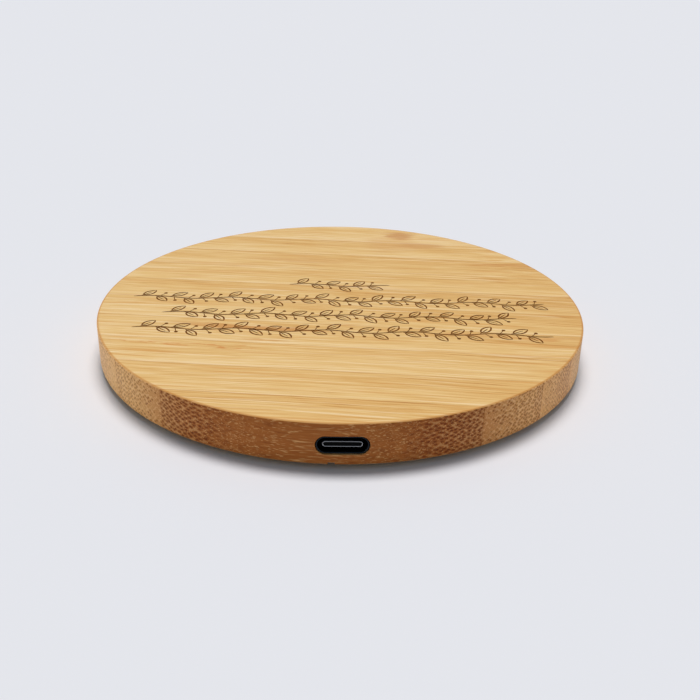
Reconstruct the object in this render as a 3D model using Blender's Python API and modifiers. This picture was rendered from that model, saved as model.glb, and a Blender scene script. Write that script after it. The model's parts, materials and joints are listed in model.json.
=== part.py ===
"""Round bamboo wireless charging pad with a USB-C socket in its rim, as separate pieces.

Metres, +Z up. The origin is at the middle of the pad, on the surface that its feet stand on.
The socket faces -Y. The pad comes apart from below: feet, screws and bottom cover, then the
circuit board with its socket, then the foam, ferrite and coil that sit under the bamboo face.
Run it with: blender --background --python part.py
"""

import math

import bmesh
import bpy
from mathutils import Matrix, Vector

# ---------------------------------------------------------------- driving dimensions
PAD_RADIUS = 0.0500
BODY_HEIGHT = 0.0080
FOOT_PROUD = 0.0010
FACE_THICKNESS = 0.0015  # bamboo left over the coil
TOP_EDGE_RADIUS = 0.0003
BOTTOM_CHAMFER = 0.0004
POCKET_RADIUS = 0.0440
REBATE_RADIUS = 0.0470
REBATE_DEPTH = 0.0016
COVER_GAP = 0.0003  # between the cover's rim and the bamboo
COVER_THICKNESS = 0.0014
LAYER_GAP = 0.0001  # between pieces that rest on each other
HAIR_GAP = 0.00005  # between pieces inside the socket

# Heights of the main faces.
BODY_BASE = FOOT_PROUD
BODY_TOP = BODY_BASE + BODY_HEIGHT
CEILING = BODY_TOP - FACE_THICKNESS
LEDGE = BODY_BASE + REBATE_DEPTH
COVER_TOP = LEDGE - LAYER_GAP
COVER_BASE = COVER_TOP - COVER_THICKNESS

# USB-C socket, to the connector's standard sizes.
PORT_HEIGHT = BODY_BASE + 0.0038  # centre of the socket
SHELL_WIDTH = 0.00894
SHELL_HEIGHT = 0.00330
SHELL_WALL = 0.00030
SHELL_LENGTH = 0.00735
SHELL_MOUTH = -0.04975
PORT_CLEARANCE = 0.00012  # between the shell and the slot in the rim
TONGUE_WIDTH = 0.00640
TONGUE_THICKNESS = 0.00070
TONGUE_TIP = SHELL_MOUTH + 0.00040
CONTACT_COLUMNS = (-0.0022, 0.0, 0.0022)
CONTACT_STAGGER = 0.00035  # upper contacts to one side of the column, lower to the other
CONTACT_WIDTH = 0.00030
CONTACT_THICKNESS = 0.00010

# Circuit board.
BOARD_THICKNESS = 0.0010
BOARD_TOP = PORT_HEIGHT - 0.0001
BOARD_BASE = BOARD_TOP - BOARD_THICKNESS
BOARD_HALF_WIDTH = 0.0200
BOARD_REAR = -0.0282
BOARD_ARC_RADIUS = 0.0434
BOARD_EAR_FRONT = -0.0453
BOARD_EAR_HALF_WIDTH = 0.0082
BOARD_NOTCH_HALF_WIDTH = SHELL_WIDTH / 2 + 0.00028
BOARD_NOTCH_REAR = SHELL_MOUTH + SHELL_LENGTH + 0.0003
BOARD_SCREW_SPOTS = ((-0.0165, -0.0335), (0.0165, -0.0335))
TAB_ROWS = (-0.0445, -0.0429)  # along Y, where the shell's solder tabs stand
TAB_SIDE = 0.00525
TAB_WIDTH = 0.0008

# Coil stack, from the ceiling down.
WIRE_RADIUS = 0.00050
COIL_TURNS = 10
COIL_OUTER_RADIUS = 0.0220  # at the middle of the outermost turn
COIL_PITCH = 0.0011
COIL_START_ANGLE = math.radians(-100)
COIL_POINTS_PER_TURN = 22
COIL_HEIGHT = CEILING - LAYER_GAP - WIRE_RADIUS
ADHESIVE_THICKNESS = 0.0001
ADHESIVE_TOP = COIL_HEIGHT - WIRE_RADIUS - LAYER_GAP
FERRITE_RADIUS = 0.0240
FERRITE_THICKNESS = 0.0010
FERRITE_TOP = ADHESIVE_TOP - ADHESIVE_THICKNESS - HAIR_GAP
FERRITE_BASE = FERRITE_TOP - FERRITE_THICKNESS
LEAD_HEIGHT = FERRITE_BASE + WIRE_RADIUS  # where the inner lead runs, inside the ferrite's slot
TAPE_THICKNESS = 0.00006
FOAM_RADIUS = 0.0190
FOAM_TOP = FERRITE_BASE - TAPE_THICKNESS - 2 * HAIR_GAP
LEAD_SLOT = ((-0.0014, 0.0044), (-0.0260, -0.0080))  # X range and Y range

# Cover fixings, mirrored about both axes.
COVER_SCREW_SPOT = (0.0385, 0.0155)
FOOT_SPOT = (0.0269, 0.0269)
FOOT_RADIUS = 0.0045
FOOT_RECESS = 0.0005
LABEL_SIZE = (0.0340, 0.0180)
LABEL_THICKNESS = 0.0001
LABEL_RECESS = 0.00015
BOSS_RADIUS = 0.0019

PAD_STEPS = 96  # facets round the pad's own outline
SMALL_STEPS = 16  # facets round screws and other small turned pieces
OVERRUN = 0.0010  # how far a cutter runs past what it cuts


# ---------------------------------------------------------------- scene and materials
def empty_scene():
    for obj in list(bpy.data.objects):
        bpy.data.objects.remove(obj)


def collection(name):
    made = bpy.data.collections.new(name)
    bpy.context.scene.collection.children.link(made)
    return made


def principled(name, colour, roughness, metallic=0.0):
    material = bpy.data.materials.new(name)
    material.use_nodes = True
    shader = material.node_tree.nodes["Principled BSDF"]
    shader.inputs["Base Color"].default_value = (*colour, 1.0)
    shader.inputs["Roughness"].default_value = roughness
    shader.inputs["Metallic"].default_value = metallic
    material.diffuse_color = (*colour, 1.0)
    return material


empty_scene()
PAD = collection("charging_pad")
CUTTERS = collection("cutters")

BAMBOO = principled("bamboo", (0.72, 0.50, 0.25), 0.50)
BLACK_PLASTIC = principled("black_plastic", (0.020, 0.020, 0.022), 0.45)
RUBBER = principled("rubber", (0.09, 0.09, 0.095), 0.80)
STEEL = principled("screw_steel", (0.58, 0.58, 0.60), 0.30, 1.0)
LABEL_FILM = principled("label_film", (0.62, 0.63, 0.65), 0.40)
SOLDER_MASK = principled("solder_mask", (0.02, 0.17, 0.08), 0.35)
COPPER_WIRE = principled("copper_wire", (0.72, 0.36, 0.17), 0.40, 0.6)
FERRITE = principled("ferrite", (0.055, 0.055, 0.06), 0.60)
ADHESIVE = principled("adhesive", (0.80, 0.76, 0.62), 0.60)
FOAM = principled("foam", (0.045, 0.045, 0.05), 0.95)
POLYIMIDE = principled("polyimide", (0.65, 0.33, 0.05), 0.25)
SHELL_METAL = principled("shell_metal", (0.030, 0.031, 0.035), 0.30, 0.8)
MIDPLATE_METAL = principled("midplate_metal", (0.62, 0.62, 0.62), 0.25, 1.0)
GOLD = principled("contact_gold", (0.83, 0.61, 0.25), 0.25, 1.0)
CHIP_EPOXY = principled("chip_epoxy", (0.025, 0.025, 0.027), 0.50)
CERAMIC = principled("capacitor_ceramic", (0.45, 0.33, 0.22), 0.50)
GLASS_BEAD = principled("thermistor_bead", (0.35, 0.10, 0.04), 0.25)
LED_LENS = principled("led_lens", (0.80, 0.82, 0.78), 0.20)


# ---------------------------------------------------------------- modelling helpers
def keep(obj, name, material=None):
    """Names an object and files it with the pad's pieces, or with the cutters if it has no material."""
    for owner in list(obj.users_collection):
        owner.objects.unlink(obj)
    obj.name = name
    if material is None:
        CUTTERS.objects.link(obj)
        obj.hide_render = True
        obj.display_type = "WIRE"
    else:
        PAD.objects.link(obj)
        obj.data.materials.clear()
        obj.data.materials.append(material)
    return obj


def smooth(obj, limit_degrees=35):
    obj.data.shade_smooth()
    obj.data.set_sharp_from_angle(angle=math.radians(limit_degrees))
    return obj


def new_mesh_object(name, build):
    """An object whose mesh is filled in by build(bm)."""
    bm = bmesh.new()
    build(bm)
    mesh = bpy.data.meshes.new(name)
    bm.to_mesh(mesh)
    bm.free()
    obj = bpy.data.objects.new(name, mesh)
    bpy.context.scene.collection.objects.link(obj)
    return obj


def box(name, low, high, material=None, bevel=0.0, bevel_segments=2):
    """A box between two corners."""
    low, high = Vector(low), Vector(high)
    size = Matrix.Diagonal((*(high - low), 1.0))
    place = Matrix.Translation((low + high) / 2)
    obj = new_mesh_object(name, lambda bm: bmesh.ops.create_cube(bm, size=1.0, matrix=place @ size))
    if bevel:
        rounding = obj.modifiers.new("rounded edges", "BEVEL")
        rounding.width = bevel
        rounding.segments = bevel_segments
    return keep(obj, name, material)


def cylinder(name, centre, radius, bottom, top, material=None, segments=24):
    place = Matrix.Translation((centre[0], centre[1], (bottom + top) / 2))
    obj = new_mesh_object(
        name,
        lambda bm: bmesh.ops.create_cone(
            bm, cap_ends=True, segments=segments, radius1=radius, radius2=radius,
            depth=top - bottom, matrix=place,
        ),
    )
    return keep(obj, name, material)


def turned(name, profile, material=None, steps=PAD_STEPS, centre=(0.0, 0.0)):
    """A solid of revolution about Z, from (radius, height) pairs that run down the outer side."""

    def build(bm):
        points = [bm.verts.new((r, 0.0, z)) for r, z in profile]
        for a, b in zip(points, points[1:]):
            bm.edges.new((a, b))

    obj = new_mesh_object(name, build)
    obj.location = (*centre, 0.0)
    screw = obj.modifiers.new("turn", "SCREW")
    screw.steps = steps
    screw.render_steps = steps
    screw.use_merge_vertices = True
    screw.merge_threshold = 0.000001
    screw.use_smooth_shade = False
    return keep(obj, name, material)


def mesh_from(obj):
    """Replaces an object by its evaluated, welded mesh, at the same place."""
    bpy.context.view_layer.update()
    graph = bpy.context.evaluated_depsgraph_get()
    mesh = bpy.data.meshes.new_from_object(obj.evaluated_get(graph))
    bm = bmesh.new()
    bm.from_mesh(mesh)
    bmesh.ops.remove_doubles(bm, verts=bm.verts, dist=0.000001)
    bmesh.ops.recalc_face_normals(bm, faces=bm.faces)
    bm.to_mesh(mesh)
    bm.free()
    made = bpy.data.objects.new(obj.name, mesh)
    made.matrix_world = obj.matrix_world
    bpy.context.scene.collection.objects.link(made)
    bpy.data.objects.remove(obj)
    return made


def plate(name, outlines, thickness, place=None, material=None):
    """A flat plate from closed outlines in its own XY plane, the first one outside and any others holes."""
    curve = bpy.data.curves.new(name, "CURVE")
    curve.dimensions = "2D"
    curve.fill_mode = "BOTH"
    curve.extrude = thickness / 2
    for outline in outlines:
        spline = curve.splines.new("POLY")
        spline.points.add(len(outline) - 1)
        for point, (x, y) in zip(spline.points, outline):
            point.co = (x, y, 0.0, 1.0)
        spline.use_cyclic_u = True
    obj = bpy.data.objects.new(name, curve)
    bpy.context.scene.collection.objects.link(obj)
    obj.matrix_world = place or Matrix.Identity(4)
    return keep(mesh_from(obj), name, material)


def wire(name, route, radius, material=None):
    """A round wire along a list of points, with closed ends."""
    curve = bpy.data.curves.new(name, "CURVE")
    curve.dimensions = "3D"
    curve.bevel_depth = radius
    curve.bevel_resolution = 2
    curve.use_fill_caps = True
    spline = curve.splines.new("POLY")
    spline.points.add(len(route) - 1)
    for point, at in zip(spline.points, route):
        point.co = (*at, 1.0)
    obj = bpy.data.objects.new(name, curve)
    bpy.context.scene.collection.objects.link(obj)
    return keep(mesh_from(obj), name, material)


def boolean(obj, other, operation):
    modifier = obj.modifiers.new(f"{operation.lower()} {other.name}", "BOOLEAN")
    modifier.operation = operation
    modifier.object = other
    return obj


def cut(obj, *cutters):
    for cutter in cutters:
        boolean(obj, cutter, "DIFFERENCE")
    return obj


def add(obj, *others):
    for other in others:
        boolean(obj, other, "UNION")
    return obj


def copies(source, name, spots, material):
    """Objects NAME_1, NAME_2 and so on at the given spots, sharing the mesh of source, which is used up."""
    master = mesh_from(source)
    made = []
    for number, (x, y) in enumerate(spots, start=1):
        obj = bpy.data.objects.new(name, master.data)
        obj.location = (x, y, 0.0)
        made.append(smooth(keep(obj, f"{name}_{number}", material)))
    bpy.data.objects.remove(master)
    return made


def mirrored_spots(spot):
    """The four places of a spot mirrored about X and Y, counter-clockwise."""
    x, y = spot
    return ((x, y), (-x, y), (-x, -y), (x, -y))


def arc(centre, radius, start, end, count):
    """Points along an arc, ends included; angles in radians."""
    angles = [start + (end - start) * i / (count - 1) for i in range(count)]
    return [(centre[0] + radius * math.cos(a), centre[1] + radius * math.sin(a)) for a in angles]


def stadium(width, height, count=9):
    """A slot outline with round ends, counter-clockwise."""
    radius = height / 2
    reach = width / 2 - radius
    quarter = math.pi / 2
    return arc((reach, 0), radius, -quarter, quarter, count) + arc(
        (-reach, 0), radius, quarter, 3 * quarter, count
    )


def facing_front(front, rear):
    """The placement that stands a plate on end, its thickness running from front to rear along Y."""
    turn = Matrix.Rotation(math.pi / 2, 4, "X")
    return Matrix.Translation((0.0, (front + rear) / 2, PORT_HEIGHT)) @ turn


def socket_plate(name, outlines, front, rear, material=None):
    """A plate across the socket's axis, from Y = front to Y = rear."""
    return plate(name, outlines, rear - front, facing_front(front, rear), material)


def circle(centre, radius, count=SMALL_STEPS):
    return arc(centre, radius, 0.0, 2 * math.pi * (1 - 1 / count), count)


# ---------------------------------------------------------------- bamboo housing
def bamboo_housing():
    """The turned bamboo disc, milled out from below."""
    edge_arc = arc(
        (PAD_RADIUS - TOP_EDGE_RADIUS, BODY_TOP - TOP_EDGE_RADIUS),
        TOP_EDGE_RADIUS, math.pi / 2, 0.0, 3,
    )
    profile = [
        (0.0, BODY_TOP),
        *edge_arc,
        (PAD_RADIUS, BODY_BASE + BOTTOM_CHAMFER),
        (PAD_RADIUS - BOTTOM_CHAMFER, BODY_BASE),
        (REBATE_RADIUS, BODY_BASE),
        (REBATE_RADIUS, LEDGE),
        (POCKET_RADIUS, LEDGE),
        (POCKET_RADIUS, CEILING),
        (0.0, CEILING),
    ]
    housing = turned("bamboo_housing", profile, BAMBOO)

    ear_radius, ear_base = 0.0036, LEDGE + LAYER_GAP
    pilot_radius, pilot_base, pilot_top = 0.00125, LEDGE - OVERRUN, CEILING - 0.0005
    for number, spot in enumerate(mirrored_spots(COVER_SCREW_SPOT), start=1):
        add(housing, cylinder(f"ear_{number}", spot, ear_radius, ear_base, CEILING + 0.0005))
        cut(housing, cylinder(f"pilot_hole_{number}", spot, pilot_radius, pilot_base, pilot_top, segments=12))

    bay_half_width, bay_front, bay_rear = 0.0085, -0.0456, -0.0400
    bay_base, bay_top = LEDGE - OVERRUN / 2, PORT_HEIGHT + 0.0022
    cut(
        housing,
        box("port_bay", (-bay_half_width, bay_front, bay_base), (bay_half_width, bay_rear, bay_top)),
        socket_plate(
            "port_slot",
            [stadium(SHELL_WIDTH + 2 * PORT_CLEARANCE, SHELL_HEIGHT + 2 * PORT_CLEARANCE)],
            -PAD_RADIUS - OVERRUN, bay_front + OVERRUN,
        ),
        pry_notch(),
    )
    return housing


def pry_notch():
    """Cutter for the small notch in the rim's lower edge, where a blade lifts the unscrewed cover."""
    half_width, height, middle = 0.0006, 0.00055, -0.00185
    return box(
        "pry_notch_cutter",
        (middle - half_width, -PAD_RADIUS - OVERRUN, BODY_BASE - OVERRUN),
        (middle + half_width, -REBATE_RADIUS + OVERRUN, BODY_BASE + height),
    )


# ---------------------------------------------------------------- bottom cover and what is on it
def countersink(name, spot):
    """Cutter for a countersunk screw hole, wide side down."""
    head, hole, depth = 0.0021, 0.0012, 0.0010
    profile = [
        (0.0, COVER_TOP + OVERRUN),
        (hole, COVER_TOP + OVERRUN),
        (hole, COVER_BASE + depth),
        (head, COVER_BASE),
        (head, COVER_BASE - OVERRUN),
        (0.0, COVER_BASE - OVERRUN),
    ]
    return turned(name, profile, steps=SMALL_STEPS, centre=spot)


def bottom_cover():
    """The moulded plate that closes the pocket. It carries the board's bosses and the ring round the foam."""
    rim, edge = REBATE_RADIUS - COVER_GAP, 0.0003
    ring_inner, ring_outer, ring_top = FOAM_RADIUS + 0.0004, FOAM_RADIUS + 0.0014, COVER_TOP + 0.0007
    profile = [
        (0.0, COVER_TOP),
        (ring_inner, COVER_TOP),
        (ring_inner, ring_top),
        (ring_outer, ring_top),
        (ring_outer, COVER_TOP),
        (rim, COVER_TOP),
        (rim, COVER_BASE + edge),
        (rim - edge, COVER_BASE),
        (0.0, COVER_BASE),
    ]
    cover = turned("bottom_cover", profile, BLACK_PLASTIC)

    boss_hole, boss_hole_base = 0.0010, COVER_BASE + 0.0008
    boss_top = BOARD_BASE - HAIR_GAP
    for number, spot in enumerate(BOARD_SCREW_SPOTS, start=1):
        add(cover, cylinder(f"boss_{number}", spot, BOSS_RADIUS, COVER_TOP - 0.0003, boss_top, segments=20))
        hole_top = boss_top + OVERRUN
        cut(cover, cylinder(f"boss_hole_{number}", spot, boss_hole, boss_hole_base, hole_top, segments=12))

    for number, spot in enumerate(mirrored_spots(COVER_SCREW_SPOT), start=1):
        cut(cover, countersink(f"countersink_{number}", spot))
    below, radius, floor = COVER_BASE - OVERRUN, FOOT_RADIUS + 0.00015, COVER_BASE + FOOT_RECESS
    for number, spot in enumerate(mirrored_spots(FOOT_SPOT), start=1):
        cut(cover, cylinder(f"foot_recess_{number}", spot, radius, below, floor, segments=32))
    half_x, half_y = LABEL_SIZE[0] / 2 + LAYER_GAP, LABEL_SIZE[1] / 2 + LAYER_GAP
    floor = COVER_BASE + LABEL_RECESS
    cut(cover, box("label_recess", (-half_x, -half_y, below), (half_x, half_y, floor)))
    return cover


def rating_label():
    """A blank self-adhesive label in its recess."""
    half_x, half_y, corner = LABEL_SIZE[0] / 2, LABEL_SIZE[1] / 2, 0.0010
    outline = []
    for i, (sx, sy) in enumerate(((1, 1), (-1, 1), (-1, -1), (1, -1))):
        centre = (sx * (half_x - corner), sy * (half_y - corner))
        outline += arc(centre, corner, i * math.pi / 2, (i + 1) * math.pi / 2, 5)
    middle = COVER_BASE + LABEL_RECESS - HAIR_GAP / 2 - LABEL_THICKNESS / 2
    return plate("rating_label", [outline], LABEL_THICKNESS, Matrix.Translation((0, 0, middle)), LABEL_FILM)


def feet():
    """Four rubber pucks, stuck in the cover's round recesses."""
    top = COVER_BASE + FOOT_RECESS - HAIR_GAP
    bulge, sole_inset = 0.0006, 0.0004
    profile = [
        (0.0, top),
        (FOOT_RADIUS, top),
        (FOOT_RADIUS, bulge),
        (FOOT_RADIUS - sole_inset / 3, sole_inset / 2),
        (FOOT_RADIUS - sole_inset, 0.0),
        (0.0, 0.0),
    ]
    return copies(turned("foot", profile, steps=32), "foot", mirrored_spots(FOOT_SPOT), RUBBER)


def cross_recess(name, bottom, top, width, arm):
    """Cutter for a cross-head screw's recess, upright between two heights."""
    first = box(name, (-arm, -width / 2, bottom), (arm, width / 2, top))
    second = box(f"{name}_arm", (-width / 2, -arm, bottom), (width / 2, arm, top))
    return add(first, second)


def thread_profile(core, crest, start, end, count):
    """(radius, height) pairs of a thread's ridges, from start to end along Z."""
    step = (end - start) / count
    points = []
    for i in range(count):
        points += [(core, start + step * i), (crest, start + step * (i + 0.5))]
    return points + [(core, end)]


def cover_screws():
    """Countersunk self-tapping screws, heads down, from the cover into the bamboo's ears."""
    head_face = COVER_BASE + 0.00015
    head_top = head_face + 0.0010
    head_radius, core, crest = 0.0018, 0.00080, 0.00105
    thread_start, thread_end = LEDGE + 0.0004, CEILING - 0.0013
    tip = thread_end + 0.0006
    profile = [(0.0, tip), *reversed(thread_profile(core, crest, thread_start, thread_end, 4))]
    profile += [(core, head_top), (head_radius, head_face + 0.00015)]
    profile += [(head_radius, head_face), (0.0, head_face)]
    screw = turned("cover_screw", profile, steps=SMALL_STEPS)
    cut(screw, cross_recess("cover_screw_recess", head_face - OVERRUN, head_face + 0.0006, 0.0004, 0.0010))
    return copies(screw, "cover_screw", mirrored_spots(COVER_SCREW_SPOT), STEEL)


def board_screws():
    """Pan-head screws, heads up, through the board into the cover's bosses."""
    seat = BOARD_TOP + HAIR_GAP
    head_top, head_radius = seat + 0.0009, 0.0015
    core, crest = 0.00060, 0.00080
    thread_start, thread_end = BOARD_TOP - 0.0001, COVER_BASE + 0.0014
    tip = COVER_BASE + 0.0010
    profile = [(0.0, head_top), (head_radius * 0.7, head_top), (head_radius, head_top - 0.0003)]
    profile += [(head_radius, seat), (core, seat)]
    profile += [*thread_profile(core, crest, thread_start, thread_end, 4), (0.0, tip)]
    screw = turned("board_screw", profile, steps=SMALL_STEPS)
    cut(screw, cross_recess("board_screw_recess", head_top - 0.0005, head_top + OVERRUN, 0.00035, 0.0009))
    return copies(screw, "board_screw", BOARD_SCREW_SPOTS, STEEL)


# ---------------------------------------------------------------- USB-C socket
def solder_tab(name, side, row):
    """One leg of the shell: out over the board, then down through it. side is -1 or 1."""
    inner, bend, thick = SHELL_WIDTH / 2 - SHELL_WALL / 2, TAB_SIDE, 0.00025
    low, shelf = BOARD_BASE + 0.0002, BOARD_TOP + HAIR_GAP
    outline = [
        (inner, shelf), (bend, shelf), (bend, low),
        (bend + thick, low), (bend + thick, shelf + thick), (inner, shelf + thick),
    ]
    outline = [(side * x, z - PORT_HEIGHT) for x, z in outline]
    return socket_plate(name, [outline], row - TAB_WIDTH / 2, row + TAB_WIDTH / 2)


def usb_shell():
    """The stamped steel shell, with four legs soldered to the board's ears."""
    inner = stadium(SHELL_WIDTH - 2 * SHELL_WALL, SHELL_HEIGHT - 2 * SHELL_WALL)
    shell = socket_plate(
        "usb_shell", [stadium(SHELL_WIDTH, SHELL_HEIGHT), inner],
        SHELL_MOUTH, SHELL_MOUTH + SHELL_LENGTH, SHELL_METAL,
    )
    for side in (-1, 1):
        for row in TAB_ROWS:
            add(shell, solder_tab(f"tab_{side}_{row}", side, row))
    return shell


BASE_FRONT = SHELL_MOUTH + 0.0061  # the floor of the socket's cavity
BASE_REAR = SHELL_MOUTH + SHELL_LENGTH - HAIR_GAP
CONTACT_OFFSET = TONGUE_THICKNESS / 2 + HAIR_GAP + CONTACT_THICKNESS / 2  # from the tongue's middle plane


def contact_spots():
    """(X, side) of each contact, side 1 on the tongue's upper face and -1 on its lower face."""
    return [(x + side * CONTACT_STAGGER, side) for side in (1, -1) for x in CONTACT_COLUMNS]


def usb_insulator():
    """The black moulding: a base that fills the shell's rear, and the tongue that carries the contacts."""
    inset = 2 * (SHELL_WALL + HAIR_GAP)
    outline = stadium(SHELL_WIDTH - inset, SHELL_HEIGHT - inset)
    base = socket_plate("usb_insulator", [outline], BASE_FRONT, BASE_REAR, BLACK_PLASTIC)
    tongue = socket_plate(
        "tongue", [stadium(TONGUE_WIDTH, TONGUE_THICKNESS, 5)], TONGUE_TIP, BASE_FRONT + 0.0004
    )
    add(base, tongue)
    slot_half_width = CONTACT_WIDTH / 2 + HAIR_GAP
    slot_low, slot_high = CONTACT_OFFSET - CONTACT_THICKNESS / 2 - HAIR_GAP / 2, CONTACT_OFFSET + 0.00015
    for number, (x, side) in enumerate(contact_spots(), start=1):
        heights = sorted((side * slot_low, side * slot_high))
        cut(base, box(
            f"contact_slot_{number}",
            (x - slot_half_width, BASE_FRONT - 0.0002, PORT_HEIGHT + heights[0]),
            (x + slot_half_width, BASE_REAR + 0.0002, PORT_HEIGHT + heights[1]),
        ))
    return base


def usb_midplate():
    """The steel plate's visible part: a rolled edge round the tongue's tip and a rail down each side."""
    wall, depth, play = 0.00013, 0.00035, 0.00004
    inner_width, inner_height = TONGUE_WIDTH + 2 * play, TONGUE_THICKNESS + 2 * play
    outer = stadium(inner_width + 2 * wall, inner_height + 2 * wall, 7)
    ring = socket_plate(
        "usb_midplate", [outer, stadium(inner_width, inner_height, 7)],
        TONGUE_TIP - 0.00005, TONGUE_TIP + depth, MIDPLATE_METAL,
    )
    for side in (-1, 1):
        near, far = sorted((side * (inner_width / 2), side * (inner_width / 2 + wall * 0.8)))
        add(ring, box(
            f"midplate_rail_{side}",
            (near, TONGUE_TIP + depth / 2, PORT_HEIGHT - 0.0002),
            (far, BASE_FRONT - HAIR_GAP, PORT_HEIGHT + 0.0002),
        ))
    return ring


def usb_contacts():
    """Six gold-plated contacts: along the tongue, through the base, then a foot on the board."""
    front = TONGUE_TIP + 0.0007
    bend_front, bend_rear = BASE_REAR + 0.00008, BOARD_NOTCH_REAR
    foot_rear = BOARD_NOTCH_REAR + 0.0009
    foot_low = BOARD_TOP + HAIR_GAP - PORT_HEIGHT
    foot_high = foot_low + CONTACT_THICKNESS
    on_end = Matrix.Rotation(math.pi / 2, 4, "Z") @ Matrix.Rotation(math.pi / 2, 4, "X")
    for number, (x, side) in enumerate(contact_spots(), start=1):
        low = side * CONTACT_OFFSET - CONTACT_THICKNESS / 2
        high = low + CONTACT_THICKNESS
        top_first, bottom_first = (bend_rear, bend_front) if side > 0 else (bend_front, bend_rear)
        outline = [
            (front, low), (bottom_first, low), (bottom_first, foot_low) if side > 0 else (bend_rear, low),
            (bend_rear, foot_low), (foot_rear, foot_low), (foot_rear, foot_high),
            (top_first, foot_high), (top_first, high), (front, high),
        ]
        outline = [p for i, p in enumerate(outline) if p != outline[i - 1]]
        place = Matrix.Translation((x, 0.0, PORT_HEIGHT)) @ on_end
        plate(f"usb_contact_{number}", [outline], CONTACT_WIDTH, place, GOLD)


# ---------------------------------------------------------------- circuit board
def board_outline():
    """The board's edge, counter-clockwise from its right rear corner."""
    side, ear, notch = BOARD_HALF_WIDTH, BOARD_EAR_HALF_WIDTH, BOARD_NOTCH_HALF_WIDTH
    side_angle = math.acos(side / BOARD_ARC_RADIUS)
    ear_angle = math.acos(ear / BOARD_ARC_RADIUS)
    left = arc((0, 0), BOARD_ARC_RADIUS, math.pi + side_angle, math.pi + ear_angle, 7)
    right = [(-x, y) for x, y in reversed(left)]
    return [
        (side, BOARD_REAR), (-side, BOARD_REAR), *left,
        (-ear, BOARD_EAR_FRONT), (-notch, BOARD_EAR_FRONT), (-notch, BOARD_NOTCH_REAR),
        (notch, BOARD_NOTCH_REAR), (notch, BOARD_EAR_FRONT), (ear, BOARD_EAR_FRONT), *right,
    ]


def main_board():
    """The glass-fibre board, with holes for its two screws and for the shell's four legs."""
    screw_hole, leg_play = 0.0010, 0.00015
    holes = [circle(spot, screw_hole) for spot in BOARD_SCREW_SPOTS]
    for side in (-1, 1):
        for row in TAB_ROWS:
            near, far = sorted((side * (TAB_SIDE - leg_play), side * (TAB_SIDE + 0.00025 + leg_play)))
            front, rear = row - TAB_WIDTH / 2 - leg_play, row + TAB_WIDTH / 2 + leg_play
            holes.append([(near, front), (far, front), (far, rear), (near, rear)])
    middle = Matrix.Translation((0, 0, (BOARD_TOP + BOARD_BASE) / 2))
    return plate("main_board", [board_outline(), *holes], BOARD_THICKNESS, middle, SOLDER_MASK)


def on_board(name, centre, size, material, bevel=0.0):
    """A boxy component standing on the board; size is its X, Y and height."""
    (x, y), (width, length, height) = centre, size
    base = BOARD_TOP + HAIR_GAP
    return box(
        name, (x - width / 2, y - length / 2, base), (x + width / 2, y + length / 2, base + height),
        material, bevel, 1,
    )


def board_components():
    chip_size = (0.0016, 0.0032, 0.0014)  # a 3216 ceramic capacitor
    on_board("controller_ic", (-0.0095, -0.0352), (0.0050, 0.0050, 0.0009), CHIP_EPOXY, 0.00008)
    on_board("bridge_ic", (0.0000, -0.0355), (0.0040, 0.0040, 0.0009), CHIP_EPOXY, 0.00008)
    on_board("filter_inductor", (0.0085, -0.0375), (0.0042, 0.0042, 0.0020), FERRITE, 0.0004)
    on_board("sense_resistor", (0.0000, -0.0396), (0.0032, 0.0016, 0.0006), CHIP_EPOXY, 0.00008)
    first_x, spacing = 0.0066, 0.0022
    for number in range(1, 5):
        spot = (first_x + spacing * (number - 1), -0.0315)
        on_board(f"resonant_capacitor_{number}", spot, chip_size, CERAMIC, 0.00012)
    for number, x in enumerate((-0.0086, -0.0064), start=1):
        on_board(f"input_capacitor_{number}", (x, -0.0402), chip_size, CERAMIC, 0.00012)
    on_board("status_led", (-0.0071, -0.0443), (0.0016, 0.0008, 0.0006), LED_LENS, 0.00008)


# ---------------------------------------------------------------- coil stack
def slotted_disc(name, radius, bottom, top, material):
    """A disc with the slot that the coil's inner lead leaves by."""
    disc = cylinder(name, (0, 0), radius, bottom, top, material, segments=64)
    (left, right), (front, rear) = LEAD_SLOT
    return cut(disc, box(f"{name}_slot", (left, front, bottom - OVERRUN), (right, rear, top + OVERRUN)))


def charging_coil():
    """One flat spiral of litz wire with both its leads, from the outer lead's end to the inner lead's end."""
    outer_x, inner_x = -0.0072, 0.0019
    pad_height = BOARD_TOP + WIRE_RADIUS + HAIR_GAP
    outer_lead = [
        (outer_x, -0.0310, pad_height), (outer_x, -0.0290, pad_height),
        (outer_x - 0.0001, -0.0272, pad_height + 0.0006), (outer_x + 0.0001, -0.0252, COIL_HEIGHT - 0.0005),
        (outer_x + 0.0009, -0.0236, COIL_HEIGHT - 0.0001), (outer_x + 0.0022, -0.0224, COIL_HEIGHT),
    ]
    spiral = []
    for i in range(COIL_TURNS * COIL_POINTS_PER_TURN + 1):
        turn = i / COIL_POINTS_PER_TURN
        angle = COIL_START_ANGLE + 2 * math.pi * turn
        radius = COIL_OUTER_RADIUS - COIL_PITCH * turn
        spiral.append((radius * math.cos(angle), radius * math.sin(angle), COIL_HEIGHT))
    end = spiral[-1]
    inner_lead = [
        (end[0] + 0.0011, end[1] + 0.0001, COIL_HEIGHT - 0.0002),
        (end[0] + 0.0021, end[1] + 0.0003, COIL_HEIGHT - 0.0006),
        (end[0] + 0.0030, end[1] + 0.0003, COIL_HEIGHT - 0.0010),
        (inner_x - 0.0001, end[1] - 0.0004, LEAD_HEIGHT + 0.0001),
        (inner_x, end[1] - 0.0014, LEAD_HEIGHT),
        (inner_x, -0.0265, LEAD_HEIGHT),
        (inner_x, -0.0285, pad_height + 0.0001), (inner_x, -0.0310, pad_height),
    ]
    return smooth(wire("charging_coil", outer_lead + spiral + inner_lead, WIRE_RADIUS, COPPER_WIRE), 60)


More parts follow.
